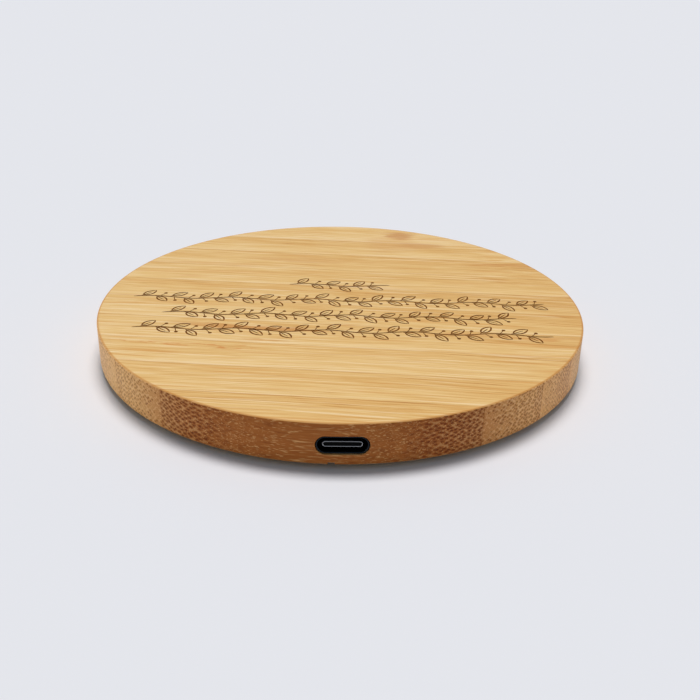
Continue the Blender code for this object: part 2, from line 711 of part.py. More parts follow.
def thermistor():
    """A glass bead at the coil's centre, under the face, with two thin leads to the board."""
    bead_radius, lead_radius = 0.00048, 0.00025
    bead_height = CEILING - LAYER_GAP - bead_radius
    lying = ADHESIVE_TOP + lead_radius + LAYER_GAP
    in_slot = LEAD_HEIGHT
    pad_height = BOARD_TOP + lead_radius + HAIR_GAP
    stretched = Matrix.Translation((0.0, 0.0, bead_height)) @ Matrix.Diagonal((1.0, 2.0, 1.0, 1.0))
    bead = new_mesh_object(
        "thermistor",
        lambda bm: bmesh.ops.create_uvsphere(
            bm, u_segments=12, v_segments=8, radius=bead_radius, matrix=stretched
        ),
    )
    keep(bead, "thermistor", GLASS_BEAD)
    for number, (start_x, slot_x) in enumerate(((-0.0003, 0.0030), (0.0003, 0.0038)), start=1):
        route = [
            (start_x, -0.0006, bead_height), (start_x, -0.0018, bead_height - 0.0001),
            (start_x + 0.0004, -0.0034, lying), (slot_x - 0.0004, -0.0070, lying),
            (slot_x, -0.0092, lying), (slot_x, -0.0108, (lying + in_slot) / 2),
            (slot_x, -0.0125, in_slot), (slot_x, -0.0265, in_slot),
            (slot_x, -0.0285, pad_height + 0.0001), (slot_x, -0.0305, pad_height),
        ]
        add(bead, wire(f"thermistor_lead_{number}", route, lead_radius))
    return bead


def coil_stack():
    charging_coil()
    adhesive_radius, adhesive_base = COIL_OUTER_RADIUS + WIRE_RADIUS, ADHESIVE_TOP - ADHESIVE_THICKNESS
    slotted_disc("coil_adhesive", adhesive_radius, adhesive_base, ADHESIVE_TOP, ADHESIVE)
    slotted_disc("ferrite_shield", FERRITE_RADIUS, FERRITE_BASE, FERRITE_TOP, FERRITE)
    tape_top = FERRITE_BASE - HAIR_GAP
    box("lead_tape", (-0.0045, -0.0190, tape_top - TAPE_THICKNESS), (0.0075, -0.0130, tape_top), POLYIMIDE)
    smooth(cylinder("foam_pad", (0, 0), FOAM_RADIUS, COVER_TOP + HAIR_GAP, FOAM_TOP, FOAM, segments=48))
    thermistor()


# ---------------------------------------------------------------- the whole pad
bamboo_housing()
bottom_cover()
rating_label()
feet()
cover_screws()
main_board()
board_screws()
board_components()
usb_shell()
usb_insulator()
usb_midplate()
usb_contacts()
coil_stack()
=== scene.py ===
"""Looks of the bamboo wireless charging pad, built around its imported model.

Metres throughout, in the model's own frame: +Z up, the socket faces -Y, and the feet stand on
Z = 0. Pieces that show are rebuilt here with fine edges; the rest keep their modelled shape and get
a material. The engraved ornament is a row pattern of vines, drawn by formula.
"""

import json
import math
import random

import bmesh
import bpy
from mathutils import Matrix, Vector
from mathutils.geometry import delaunay_2d_cdt

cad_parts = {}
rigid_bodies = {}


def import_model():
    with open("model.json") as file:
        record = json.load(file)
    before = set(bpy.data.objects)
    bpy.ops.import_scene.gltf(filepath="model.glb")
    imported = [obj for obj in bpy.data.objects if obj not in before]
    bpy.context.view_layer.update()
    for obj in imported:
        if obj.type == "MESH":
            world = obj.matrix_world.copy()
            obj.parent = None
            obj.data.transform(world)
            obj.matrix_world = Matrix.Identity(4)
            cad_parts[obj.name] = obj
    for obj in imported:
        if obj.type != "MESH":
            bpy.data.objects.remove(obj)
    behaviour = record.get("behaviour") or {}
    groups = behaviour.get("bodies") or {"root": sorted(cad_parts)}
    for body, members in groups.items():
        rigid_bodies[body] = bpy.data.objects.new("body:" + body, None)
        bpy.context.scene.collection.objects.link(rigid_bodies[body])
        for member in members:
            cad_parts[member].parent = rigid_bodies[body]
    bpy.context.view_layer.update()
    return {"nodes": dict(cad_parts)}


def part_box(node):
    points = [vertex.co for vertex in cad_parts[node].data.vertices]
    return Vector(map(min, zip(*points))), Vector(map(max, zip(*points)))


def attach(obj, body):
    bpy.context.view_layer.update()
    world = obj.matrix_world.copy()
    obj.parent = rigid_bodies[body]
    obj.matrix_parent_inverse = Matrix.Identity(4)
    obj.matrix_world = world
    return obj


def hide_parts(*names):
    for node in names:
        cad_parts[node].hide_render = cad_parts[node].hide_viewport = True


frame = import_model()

MM = 0.001


def numbered(name, count):
    return [f"{name}_{number}" for number in range(1, count + 1)]


# ---- sizes, from the frame where it has them
HOUSING_LOW, HOUSING_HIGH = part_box("bamboo_housing")
PAD_RADIUS = HOUSING_HIGH.x
BODY_BASE, BODY_TOP = HOUSING_LOW.z, HOUSING_HIGH.z
COVER_LOW, COVER_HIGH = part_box("bottom_cover")
COVER_RADIUS, COVER_BASE = COVER_HIGH.x, COVER_LOW.z
BOSS_TOP = COVER_HIGH.z
SHELL_LOW, SHELL_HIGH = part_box("usb_shell")
SHELL_MOUTH, SHELL_REAR = SHELL_LOW.y, SHELL_HIGH.y
INSULATOR_LOW, INSULATOR_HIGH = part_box("usb_insulator")
TONGUE_TIP, BASE_REAR = INSULATOR_LOW.y, INSULATOR_HIGH.y
PORT_HEIGHT = (INSULATOR_LOW.z + INSULATOR_HIGH.z) / 2
MIDPLATE_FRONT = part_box("usb_midplate")[0].y
BOARD_LOW, BOARD_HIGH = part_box("main_board")
LABEL_LOW, LABEL_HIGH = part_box("rating_label")
FEET = numbered("foot", 4)
COVER_SCREWS = numbered("cover_screw", 4)
BOARD_SCREWS = numbered("board_screw", 2)
CONTACTS = numbered("usb_contact", 6)

# Sizes that the frame's boxes don't give; they repeat the model's.
REBATE_RADIUS = 47.0 * MM
LEDGE = BODY_BASE + 1.6 * MM
POCKET_RADIUS = 44.0 * MM
CEILING = BODY_TOP - 1.5 * MM
COVER_TOP = COVER_BASE + 1.4 * MM
SHELL_WIDTH = 8.94 * MM
SHELL_HEIGHT = 3.30 * MM
SHELL_WALL = 0.30 * MM
PORT_CLEARANCE = 0.12 * MM
HAIR_GAP = 0.05 * MM
TAB_SIDE = 5.25 * MM
TAB_ROWS = (-44.5 * MM, -42.9 * MM)
TAB_WIDTH = 0.8 * MM
BASE_FRONT = SHELL_MOUTH + 6.1 * MM
TONGUE_WIDTH, TONGUE_THICKNESS = 6.40 * MM, 0.70 * MM
MIDPLATE_WALL, MIDPLATE_PLAY = 0.13 * MM, 0.04 * MM
FOOT_RECESS = 0.5 * MM
LABEL_RECESS = 0.15 * MM
LABEL_PLAY = 0.1 * MM
OVERRUN = 1.0 * MM  # how far a cutter runs past what it cuts

# The bamboo: strips glued edge to edge, their fibres a little askew from the X axis. Millimetres.
GRAIN_ANGLE = math.radians(-5.2)
STRIP_WIDTH = 10.0
STRIP_START = -1.5  # where one of the glue lines passes, across the fibres
EDGE_BAND = (PAD_RADIUS / MM - 0.52, PAD_RADIUS / MM - 0.22)  # browned by the polishing of the rim
BUNDLE_PITCH = (0.72, 0.84)  # across the fibres and up, in staggered rows
BUNDLE_EDGE = (0.39, 0.21)  # a bundle's soft edge, in cells from its middle
SPECK_EDGE = (0.50, 0.66)  # and that of the pale ground between bundles
THREAD_SIZE = (4.0, 0.14)  # length and width of the pale threads on the rim
END_GRAIN_AND_PAINTED_LIGHT = (47.0, 34.0)  # across the fibres: the rim turns from dark side grain at the front and back to paler end grain at the ends; partly the grain, partly painted shade on the front and painted light on the ends
CROSSCUT = (50.2, 44.5)  # across the fibres: the bundles turn from hidden to cut across, as dots
RUDDY_ALONG, RUDDY_ACROSS = (10.0, 26.0), (-16.0, -22.0)  # where one stretch of the rim turns redder
STREAKS = (  # length and width in millimetres, weight in the shade, roughness of the noise
    (60, 3.20, 0.40, 0.5),
    (26, 0.62, 0.85, 0.5),
    (13, 0.32, 1.10, 0.6),
    (7, 0.13, 0.80, 0.6),
)

ENGRAVING_ANGLE = math.radians(-1.4)
ENGRAVING_DEPTH = 0.10 * MM
ENGRAVING_SLOPE = 0.030 * MM
STROKE = 0.37  # millimetres, as are the ornament's other sizes
MIDRIB = 0.25
STROKE_TAPER = 0.9


# ---- mesh helpers
def middle(node):
    """The middle of a node's box, seen from above."""
    low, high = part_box(node)
    return ((low + high) / 2).xy


def arc(centre, radius, start, end, count):
    """Points along an arc, ends included; angles in radians."""
    angles = [start + (end - start) * i / (count - 1) for i in range(count)]
    return [(centre[0] + radius * math.cos(a), centre[1] + radius * math.sin(a)) for a in angles]


def circle(radius, count, centre=(0.0, 0.0)):
    return arc(centre, radius, 0.0, 2 * math.pi * (1 - 1 / count), count)


def stadium(width, height, count=24):
    """A slot outline with round ends, counter-clockwise."""
    radius, quarter = height / 2, math.pi / 2
    reach = width / 2 - radius
    right = arc((reach, 0), radius, -quarter, quarter, count)
    return right + arc((-reach, 0), radius, quarter, 3 * quarter, count)


def rounded_box(half_x, half_y, corner, count=6):
    """A rectangle's outline with round corners, counter-clockwise."""
    outline = []
    for i, (side_x, side_y) in enumerate(((1, 1), (-1, 1), (-1, -1), (1, -1))):
        centre = (side_x * (half_x - corner), side_y * (half_y - corner))
        outline += arc(centre, corner, i * math.pi / 2, (i + 1) * math.pi / 2, count)
    return outline


def mesh_object(name, build):
    """An object whose mesh is filled in by build(bm)."""
    bm = bmesh.new()
    build(bm)
    bmesh.ops.recalc_face_normals(bm, faces=bm.faces)
    mesh = bpy.data.meshes.new(name)
    bm.to_mesh(mesh)
    bm.free()
    obj = bpy.data.objects.new(name, mesh)
    bpy.context.scene.collection.objects.link(obj)
    return obj


def loft(name, rings, closed=False):
    """A skin over rings of equally many points: closed into a loop of rings, or capped at both ends."""

    def build(bm):
        rows = [[bm.verts.new(point) for point in ring] for ring in rings]
        followers = rows[1:] + rows[:1] if closed else rows[1:]
        for near, far in zip(rows, followers):
            for i in range(len(near)):
                j = (i + 1) % len(near)
                bm.faces.new((near[i], near[j], far[j], far[i]))
        if not closed:
            bm.faces.new(rows[0])
            bm.faces.new(rows[-1])

    return mesh_object(name, build)


def turned(name, profile, steps, centre=(0.0, 0.0)):
    """A solid of revolution about an upright axis, from (radius, height) pairs that start and end on it."""

    def build(bm):
        rows = []
        for radius, height in profile:
            ring = circle(radius, steps, centre) if radius > 0 else [centre]
            rows.append([bm.verts.new((x, y, height)) for x, y in ring])
        for near, far in zip(rows, rows[1:]):
            for i in range(steps):
                j = (i + 1) % steps
                corners = [near[i % len(near)], near[j % len(near)], far[j % len(far)], far[i % len(far)]]
                bm.faces.new(list(dict.fromkeys(corners)))

    return mesh_object(name, build)


def stacked(name, levels, centre=(0.0, 0.0)):
    """A solid through outlines at heights, given as (outline, height) pairs."""
    return loft(name, [[(centre[0] + x, centre[1] + y, z) for x, y in outline] for outline, z in levels])


def upright(name, outline, low, high, centre=(0.0, 0.0)):
    """A prism that stands on an outline, from one height to another."""
    return stacked(name, ((outline, low), (outline, high)), centre)


def box(name, low, high):
    low, high = Vector(low), Vector(high)
    place = Matrix.Translation((low + high) / 2) @ Matrix.Diagonal((*(high - low), 1.0))
    return mesh_object(name, lambda bm: bmesh.ops.create_cube(bm, size=1.0, matrix=place))


def along_socket(name, sections, closed=False):
    """A skin along the socket's axis, through (outline, y) pairs."""
    return loft(name, [[(x, y, PORT_HEIGHT + z) for x, z in outline] for outline, y in sections], closed)


def boolean(obj, other, operation):
    """Applies a Boolean to obj; other is used up."""
    modifier = obj.modifiers.new(operation, "BOOLEAN")
    modifier.operation = operation
    modifier.object = other
    bpy.context.view_layer.update()
    graph = bpy.context.evaluated_depsgraph_get()
    mesh = bpy.data.meshes.new_from_object(obj.evaluated_get(graph))
    obj.modifiers.clear()
    obj.data = mesh
    bpy.data.objects.remove(other)


def cut(obj, *cutters):
    for cutter in cutters:
        boolean(obj, cutter, "DIFFERENCE")
    return obj


def add(obj, *others):
    for other in others:
        boolean(obj, other, "UNION")
    return obj


def finished(obj, replaced, slot, *materials, smooth_below=35):
    """Finishes a rebuilt piece: its shading, materials and body; the CAD node that it stands for is hidden.
    """
    obj.data.shade_smooth()
    obj.data.set_sharp_from_angle(angle=math.radians(smooth_below))
    for material in materials:
        obj.data.materials.append(material)
    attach(obj, "root")
    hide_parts(replaced)
    return obj


def dress(material, *nodes):
    """Gives carried-over CAD nodes a material."""
    for node in nodes:
        mesh = frame["nodes"][node].data
        mesh.materials.clear()
        mesh.materials.append(material)


# ---- material helpers
def srgb(red, green, blue):
    """A linear colour from 8-bit sRGB values."""

    def linear(value):
        share = value / 255
        return share / 12.92 if share <= 0.04045 else ((share + 0.055) / 1.055) ** 2.4

    return (linear(red), linear(green), linear(blue), 1.0)


def tinted(colour, factor):
    """A colour times a factor, kept under 1."""
    return tuple(min(1.0, value * factor) for value in colour) + (1.0,)


class Finish:
    """A material's node tree, with short calls for the nodes used here."""

    def __init__(self, name, roughness=0.5, metallic=0.0, **shader_values):
        self.material = bpy.data.materials.new(name)
        self.material.use_nodes = True
        self.tree = self.material.node_tree
        self.shader = self.tree.nodes["Principled BSDF"]
        self.shader.inputs["Roughness"].default_value = roughness
        self.shader.inputs["Metallic"].default_value = metallic
        for socket, value in shader_values.items():
            self.shader.inputs[socket.replace("_", " ")].default_value = value

    def node(self, kind, inputs=None, **settings):
        made = self.tree.nodes.new(kind)
        for setting, value in settings.items():
            setattr(made, setting, value)
        for socket, value in (inputs or {}).items():
            self.feed(made.inputs[socket], value)
        return made

    def feed(self, socket, value):
        if isinstance(value, bpy.types.NodeSocket):
            self.tree.links.new(value, socket)
        else:
            socket.default_value = value

    def surface(self, **inputs):
        """Links values to the shader's sockets."""
        for socket, value in inputs.items():
            self.feed(self.shader.inputs[socket.replace("_", " ")], value)

    def coordinates(self):
        """The object's own coordinates, in metres."""
        return self.node("ShaderNodeTexCoord").outputs["Object"]

    def millimetres(self):
        return self.vector("MULTIPLY", self.coordinates(), (1 / MM, 1 / MM, 1 / MM))

    def math(self, operation, *values, clamp=False):
        made = self.node("ShaderNodeMath", dict(enumerate(values)), operation=operation, use_clamp=clamp)
        return made.outputs[0]

    def times(self, value, factor):
        return self.math("MULTIPLY", value, factor)

    def minus(self, value, taken):
        return self.math("SUBTRACT", value, taken)

    def sum(self, first, *others):
        for other in others:
            first = self.math("ADD", first, other)
        return first

    def swing(self, value, weight, rest=0.5):
        """A value's distance from its rest, times a weight."""
        return self.math("MULTIPLY_ADD", value, weight, -weight * rest)

    def vector(self, operation, *values):
        made = self.node("ShaderNodeVectorMath", dict(enumerate(values)), operation=operation)
        return made.outputs[0]

    def length(self, vector):
        return self.node("ShaderNodeVectorMath", {0: vector}, operation="LENGTH").outputs["Value"]

    def split(self, vector):
        return self.node("ShaderNodeSeparateXYZ", {0: vector}).outputs

    def combine(self, x, y, z):
        return self.node("ShaderNodeCombineXYZ", {0: x, 1: y, 2: z}).outputs[0]

    def noise(self, vector, scale=1.0, detail=2.0, roughness=0.5, distortion=0.0):
        inputs = {"Vector": vector, "Scale": scale, "Detail": detail, "Roughness": roughness}
        return self.node("ShaderNodeTexNoise", inputs | {"Distortion": distortion}).outputs

    def cells(self, vector, randomness=0.75, dimensions="2D"):
        inputs = {"Vector": vector, "Scale": 1.0, "Randomness": randomness}
        return self.node("ShaderNodeTexVoronoi", inputs, voronoi_dimensions=dimensions).outputs

    def fade(self, value, low, high, to_low=0.0, to_high=1.0):
        """Goes smoothly from to_low to to_high as value goes from low to high."""
        inputs = {"Value": value, "From Min": low, "From Max": high, "To Min": to_low, "To Max": to_high}
        return self.node("ShaderNodeMapRange", inputs, interpolation_type="SMOOTHSTEP").outputs["Result"]

    def mix(self, factor, first, second, blend="MIX"):
        inputs = {"Factor": factor, "A": first, "B": second}
        made = self.node("ShaderNodeMix", data_type="RGBA", blend_type=blend)
        for socket in made.inputs:
            if socket.enabled and socket.name in inputs:
                self.feed(socket, inputs[socket.name])
        return next(socket for socket in made.outputs if socket.enabled)

    def mottled(self, pattern, colour, darker, lighter):
        """A colour times a factor that goes from darker to lighter with a pattern."""
        return self.mix(self.fade(pattern, 0.3, 0.7), tinted(colour, darker), tinted(colour, lighter))

    def ramp(self, value, *stops):
        """A colour ramp through (position, colour) stops."""
        made = self.node("ShaderNodeValToRGB", {"Fac": value})
        elements = made.color_ramp.elements
        while len(elements) < len(stops):
            elements.new(0.5)
        for element, (position, colour) in zip(elements, stops):
            element.position = position
            element.color = colour
        return made.outputs["Color"]

    def bump(self, height, strength, distance_mm):
        inputs = {"Height": height, "Strength": strength, "Distance": distance_mm * MM}
        return self.node("ShaderNodeBump", inputs).outputs["Normal"]


# ---- bamboo
def grain_place(finish):
    """Millimetres along the fibres, across them and up."""
    turn = (0.0, 0.0, -GRAIN_ANGLE)
    inputs = {"Vector": finish.coordinates(), "Rotation": turn, "Scale": (1 / MM, 1 / MM, 1 / MM)}
    return finish.node("ShaderNodeMapping", inputs).outputs[0]


def drawn_out(finish, place, along, across, **settings):
    """Noise drawn out to a length along the fibres and a width across them, in millimetres."""
    stretched = finish.vector("MULTIPLY", place, (1 / along, 1 / across, 1 / across))
    return finish.noise(stretched, **settings)


def blot(finish, grain, centre, reach, softness=0.6):
    """A soft-edged oval at a place in the grain's own millimetres, 1 inside and 0 outside."""
    away = finish.vector("SUBTRACT", grain, (*centre, 0.0))
    scaled = finish.vector("MULTIPLY", away, (1 / reach[0], 1 / reach[1], 0.0))
    return finish.fade(finish.length(scaled), 1.0, 1.0 - softness)


def wandering(finish, grain):
    """The grain's place with fibres that wander a little along their length."""
    drift = drawn_out(finish, grain, 48, 20, detail=1.0)["Color"]
    centred = finish.vector("SUBTRACT", drift, (0.5, 0.5, 0.5))
    return finish.vector("ADD", grain, finish.vector("MULTIPLY", centred, (0.0, 2.4, 2.4)))


MARKS = (  # the one-off marks: centre and reach in the grain's mm, strength, colour
    ((11.0, 44.5), (4.5, 3.4), 0.60, srgb(184, 122, 70)),
    ((17.0, 37.5), (7.5, 2.6), 0.45, srgb(190, 134, 80)),
    ((9.0, 38.0), (9.0, 7.0), 0.30, srgb(200, 148, 94)),
    ((-16.0, -14.6), (20.0, 1.5), 0.60, srgb(186, 118, 52)),
    ((-12.0, -19.6), (7.0, 0.9), 0.45, srgb(190, 124, 58)),
    ((34.0, -13.4), (20.0, 0.7), 0.45, srgb(196, 132, 72)),
    ((38.0, 26.5), (12.0, 1.5), 0.40, srgb(192, 134, 76)),
    ((-26.0, -23.4), (22.0, 0.28), 0.65, srgb(198, 128, 64)),
    ((-12.0, 24.0), (16.0, 2.0), 0.28, srgb(200, 146, 90)),
    ((-30.0, 19.0), (16.0, 1.2), 0.28, srgb(204, 150, 92)),
)


def face_colour(finish, fibre, shade):
    """The planed face: golden, with low streaks, darker and paler lines and a few marks."""
    brown_line, pale_line = (0.600, 0.290, 0.080, 1), (0.805, 0.630, 0.380, 1)
    colour = finish.ramp(
        shade,
        (0.00, (0.775, 0.575, 0.320, 1)),
        (0.32, (0.715, 0.480, 0.200, 1)),
        (0.55, (0.660, 0.410, 0.152, 1)),
        (0.80, (0.590, 0.320, 0.098, 1)),
        (1.00, (0.460, 0.220, 0.060, 1)),
    )
    lines = drawn_out(finish, fibre, 28, 0.55, detail=1.0)["Fac"]
    colour = finish.mix(finish.fade(lines, 0.60, 0.70, 0.0, 0.60), colour, brown_line)
    colour = finish.mix(finish.fade(lines, 0.38, 0.29, 0.0, 0.60), colour, pale_line)
    ragged = drawn_out(finish, fibre, 7.0, 1.1, detail=3.0)["Color"]
    ragged = finish.vector("MULTIPLY", finish.vector("SUBTRACT", ragged, (0.5, 0.5, 0.5)), (12.0, 4.0, 0.0))
    ragged = finish.vector("ADD", fibre, ragged)
    for centre, reach, amount, mark in MARKS:
        mask = finish.times(blot(finish, ragged, centre, reach), amount)
        colour = finish.mix(mask, colour, mark)
    return colour


def rim_colour(finish, along, across, shade, core, threads):
    """The turned rim: oiled brown, darker at the front and back and paler towards the ends, partly from the
    grain and partly as painted shade and painted light; with bundles as dark dots or dashes and pale threads
    between them.
    """
    # oiled is the front and back's colour, darkened by painted shade; end is the ends' colour, paled by
    # painted light
    oiled, end = (0.405, 0.128, 0.025, 1), (0.700, 0.385, 0.130, 1)
    oiled_thread, end_thread = (0.840, 0.480, 0.190, 1), (0.940, 0.640, 0.320, 1)
    oiled_burn, end_burn = (0.45, 0.28, 0.13, 1), (0.62, 0.51, 0.38, 1)
    dimmed, ruddy = (0.58, 0.44, 0.34, 1), (0.97, 0.89, 0.86, 1)
    # ends: 0 at the rim's front and back, 1 towards its ends; besides the change of grain, it paints shade on
    # the front and light on the ends
    ends = finish.fade(finish.math("ABSOLUTE", across), *END_GRAIN_AND_PAINTED_LIGHT)
    redder = finish.times(finish.fade(along, *RUDDY_ALONG), finish.fade(across, *RUDDY_ACROSS))
    ground = finish.mix(ends, oiled, end)
    ground = finish.mix(finish.fade(shade, 0.30, 0.90, 0.0, 0.80), ground, dimmed, "MULTIPLY")
    ground = finish.mix(redder, ground, ruddy, "MULTIPLY")
    thread = finish.mix(ends, oiled_thread, end_thread)
    ground = finish.mix(finish.times(threads, 0.60), ground, thread)
    burn = finish.mix(ends, oiled_burn, end_burn)
    bundle = finish.mix(1.0, ground, burn, "MULTIPLY")
    return finish.mix(finish.times(core, 0.90), ground, bundle)


def streak_shade(finish, fibre, along, across, depth, tone):
    """How brown the wood is, from 0 to 1, with painted shade darkening it from left to right and a painted
    sheen paling its far side; and its fine and hair-thin streaks.
    """
    streaks = [
        drawn_out(finish, fibre, length, width, roughness=roughness)["Fac"]
        for length, width, _, roughness in STREAKS
    ]
    middle_shade = 0.46
    paler_by_glue_line = finish.fade(depth, 0.16, 0.02, 0.0, -0.14)
    # painted sheen: the far side of the face is painted paler, standing in for the grazing reflection there
    painted_far_sheen = finish.fade(across, 5.0, 40.0, 0.0, -0.12)
    shade = finish.sum(
        *(finish.swing(streak, weight) for streak, (_, _, weight, _) in zip(streaks, STREAKS)),
        finish.swing(depth, 0.22),
        finish.swing(tone, 0.14),
        # painted shade: the wood is painted lighter at the left and darker towards the right along the fibres
        finish.swing(along, 0.0020, 0.0),
        paler_by_glue_line,
        painted_far_sheen,
        middle_shade,
    )
    return shade, *streaks[2:]


def bundles(finish, fibre, across, depth):
    """Masks of the vascular bundles that the rim cuts across, and of the pale threads between them."""
    _, fibre_across, fibre_up = finish.split(fibre)
    columns = finish.math("DIVIDE", fibre_across, BUNDLE_PITCH[0])
    rows = finish.math("DIVIDE", fibre_up, BUNDLE_PITCH[1])
    staggered = finish.combine(finish.sum(columns, rows), finish.minus(columns, rows), 0.0)
    cells = finish.cells(staggered, randomness=0.6)
    chance = finish.split(cells["Color"])[0]
    density = finish.fade(depth, 0.05, 0.70, 0.45, 1.30)
    crosscut = finish.fade(finish.math("ABSOLUTE", across), *CROSSCUT)
    present = finish.fade(finish.minus(density, chance), 0.0, 0.35)
    core = finish.times(finish.fade(cells["Distance"], *BUNDLE_EDGE), present)
    core = finish.times(core, crosscut)
    threads = drawn_out(finish, fibre, *THREAD_SIZE, detail=1.0)["Fac"]
    threads = finish.fade(threads, 0.58, 0.69)
    specks = finish.times(finish.fade(cells["Distance"], *SPECK_EDGE), crosscut)
    return core, finish.math("MAXIMUM", threads, finish.times(specks, 0.6))


def bamboo():
    """Solid bamboo: the same fibres show as streaks on the face and as dots on the rim's cut ends."""
    finish = Finish("bamboo", roughness=0.42, Specular_IOR_Level=0.10)
    grain = grain_place(finish)
    fibre = wandering(finish, grain)
    upward = finish.split(finish.node("ShaderNodeTexCoord").outputs["Normal"])[2]
    on_face = finish.fade(finish.math("ABSOLUTE", upward), 0.45, 0.80)

    # Strips: each gets denser and darker from its front glue line to its rear one.
    along, across, _ = finish.split(grain)
    strips = finish.math("DIVIDE", finish.minus(across, STRIP_START), STRIP_WIDTH)
    depth = finish.math("FRACT", strips)
    strip = finish.math("FLOOR", strips)
    tone = finish.node("ShaderNodeTexWhiteNoise", {"W": strip}, noise_dimensions="1D").outputs["Value"]
    glue = finish.fade(finish.math("PINGPONG", strips, 0.5), 0.010, 0.002)

    shade, fine, hair = streak_shade(finish, fibre, along, across, depth, tone)
    core, threads = bundles(finish, fibre, across, depth)
    face = face_colour(finish, fibre, finish.sum(shade, finish.times(core, 0.16)))
    rim = rim_colour(finish, along, across, shade, core, threads)
    colour = finish.mix(on_face, rim, face)

    browned, glue_brown = (0.520, 0.215, 0.048, 1), srgb(164, 100, 46)
    axis_distance = finish.length(finish.vector("MULTIPLY", grain, (1.0, 1.0, 0.0)))
    edge = finish.times(finish.fade(axis_distance, *EDGE_BAND, 0.0, 0.65), on_face)
    colour = finish.mix(edge, colour, browned)
    colour = finish.mix(finish.times(glue, 0.55), colour, glue_brown)

    relief = finish.minus(finish.times(fine, 0.5), finish.times(core, 0.6))
    finish.surface(
        Base_Color=colour,
        Roughness=finish.fade(hair, 0.2, 0.8, 0.36, 0.50),
        Normal=finish.bump(relief, 0.5, 0.05),
    )
    return finish.material


def scorched():
    """The engraving's floor and walls, burnt dark brown and a little uneven."""
    finish = Finish("scorched_bamboo", roughness=0.80, Specular_IOR_Level=0.08)
    patches = drawn_out(finish, grain_place(finish), 3.0, 0.35, detail=3.0)["Fac"]
    colour = finish.ramp(
        patches, (0.30, srgb(94, 50, 16)), (0.55, srgb(124, 76, 28)), (0.75, srgb(154, 104, 46))
    )
    finish.surface(Base_Color=colour, Normal=finish.bump(patches, 0.5, 0.04))
    return finish.material


# ---- plastics, rubber and metals
def moulded(name, colour, roughness, texture_mm, strength, **shader_values):
    """Moulded plastic or rubber: an even colour, with a fine eroded texture."""
    finish = Finish(name, roughness=roughness, **shader_values)
    place = finish.millimetres()
    texture = finish.noise(place, scale=1 / texture_mm, detail=3.0, roughness=0.6)["Fac"]
    cloud = finish.noise(place, scale=0.15)["Fac"]
    finish.surface(
        Base_Color=finish.mottled(cloud, colour, 0.88, 1.12),
        Roughness=finish.fade(texture, 0.2, 0.8, roughness - 0.08, roughness + 0.08),
        Normal=finish.bump(texture, strength, texture_mm * 0.12),
    )
    return finish.material


def metal(name, colour, roughness, stretch=(1.0, 1.0, 1.0), scratch_mm=0.2):
    """Plated or stamped metal, with fine rubbed lines."""
    finish = Finish(name, roughness=roughness, metallic=1.0)
    place = finish.vector("MULTIPLY", finish.coordinates(), tuple(s / (scratch_mm * MM) for s in stretch))
    lines = finish.noise(place, detail=3.0, roughness=0.65)["Fac"]
    finish.surface(
        Base_Color=finish.mottled(lines, colour, 0.82, 1.0),
        Roughness=finish.fade(lines, 0.2, 0.8, roughness * 0.75, roughness * 1.3),
        Normal=finish.bump(lines, 0.15, 0.01),
    )
    return finish.material


def label_film():
    """Silver-grey film with a thin printed frame and nothing in it."""
    finish = Finish("label_film", roughness=0.35, Specular_IOR_Level=0.5)
    place = finish.millimetres()
    x, y, _ = finish.split(place)
    half_x, half_y = LABEL_HIGH.x / MM, LABEL_HIGH.y / MM
    from_edge = finish.math(
        "MINIMUM",
        finish.minus(half_x, finish.math("ABSOLUTE", x)),
        finish.minus(half_y, finish.math("ABSOLUTE", y)),
    )
    frame_line = finish.fade(finish.math("ABSOLUTE", finish.minus(from_edge, 1.1)), 0.16, 0.10)
    fleck = finish.noise(place, scale=7.0, detail=3.0)["Fac"]
    film = finish.ramp(fleck, (0.3, srgb(196, 198, 201)), (0.7, srgb(210, 212, 214)))
    finish.surface(
        Base_Color=finish.mix(frame_line, film, srgb(70, 72, 76)),
        Roughness=finish.fade(fleck, 0.3, 0.7, 0.30, 0.42),
        Normal=finish.bump(fleck, 0.2, 0.01),
    )
    return finish.material


# ---- finishes of the inner pieces
def solder_mask():
    """Green lacquer over faint copper tracks, with vias."""
    finish = Finish("solder_mask", roughness=0.32, Specular_IOR_Level=0.5)
    place = finish.millimetres()
    x, y, _ = finish.split(place)
    region = finish.noise(place, scale=0.28, detail=0.0)["Fac"]
    track_pitch = 0.9
    lanes = [finish.math("PINGPONG", finish.math("DIVIDE", axis, track_pitch), 0.5) for axis in (x, y)]
    sideways = finish.fade(region, 0.49, 0.51)
    lane = finish.sum(
        finish.times(lanes[0], sideways),
        finish.times(lanes[1], finish.minus(1.0, sideways)),
    )
    track = finish.fade(lane, 0.20, 0.15)
    via_cells = finish.cells(finish.vector("MULTIPLY", place, (0.35, 0.35, 0.0)))
    vias = finish.fade(via_cells["Distance"], 0.10, 0.08)
    colour = finish.mix(track, (0.012, 0.120, 0.052, 1), (0.022, 0.210, 0.090, 1))
    finish.surface(
        Base_Color=finish.mix(vias, colour, (0.42, 0.40, 0.34, 1)),
        Normal=finish.bump(finish.sum(track, vias), 0.4, 0.03),
    )
    return finish.material


def litz_copper():
    """Enamelled strands, twisted: stripes that run askew to the coil's turns."""
    finish = Finish("copper_wire", roughness=0.38, metallic=0.75)
    place = finish.millimetres()
    x, y, z = finish.split(place)
    turn = finish.math("ARCTAN2", y, x)
    radius = finish.length(finish.combine(x, y, 0.0))
    strands_a_turn, strands_a_millimetre = 90.0, 4.0
    phase = finish.sum(
        finish.times(turn, strands_a_turn / (2 * math.pi)),
        finish.times(radius, strands_a_millimetre),
        finish.times(z, strands_a_millimetre),
    )
    groove = finish.fade(finish.math("PINGPONG", phase, 0.5), 0.0, 0.22)
    finish.surface(
        Base_Color=finish.mix(groove, (0.28, 0.10, 0.035, 1), (0.80, 0.38, 0.17, 1)),
        Normal=finish.bump(groove, 0.6, 0.06),
    )
    return finish.material


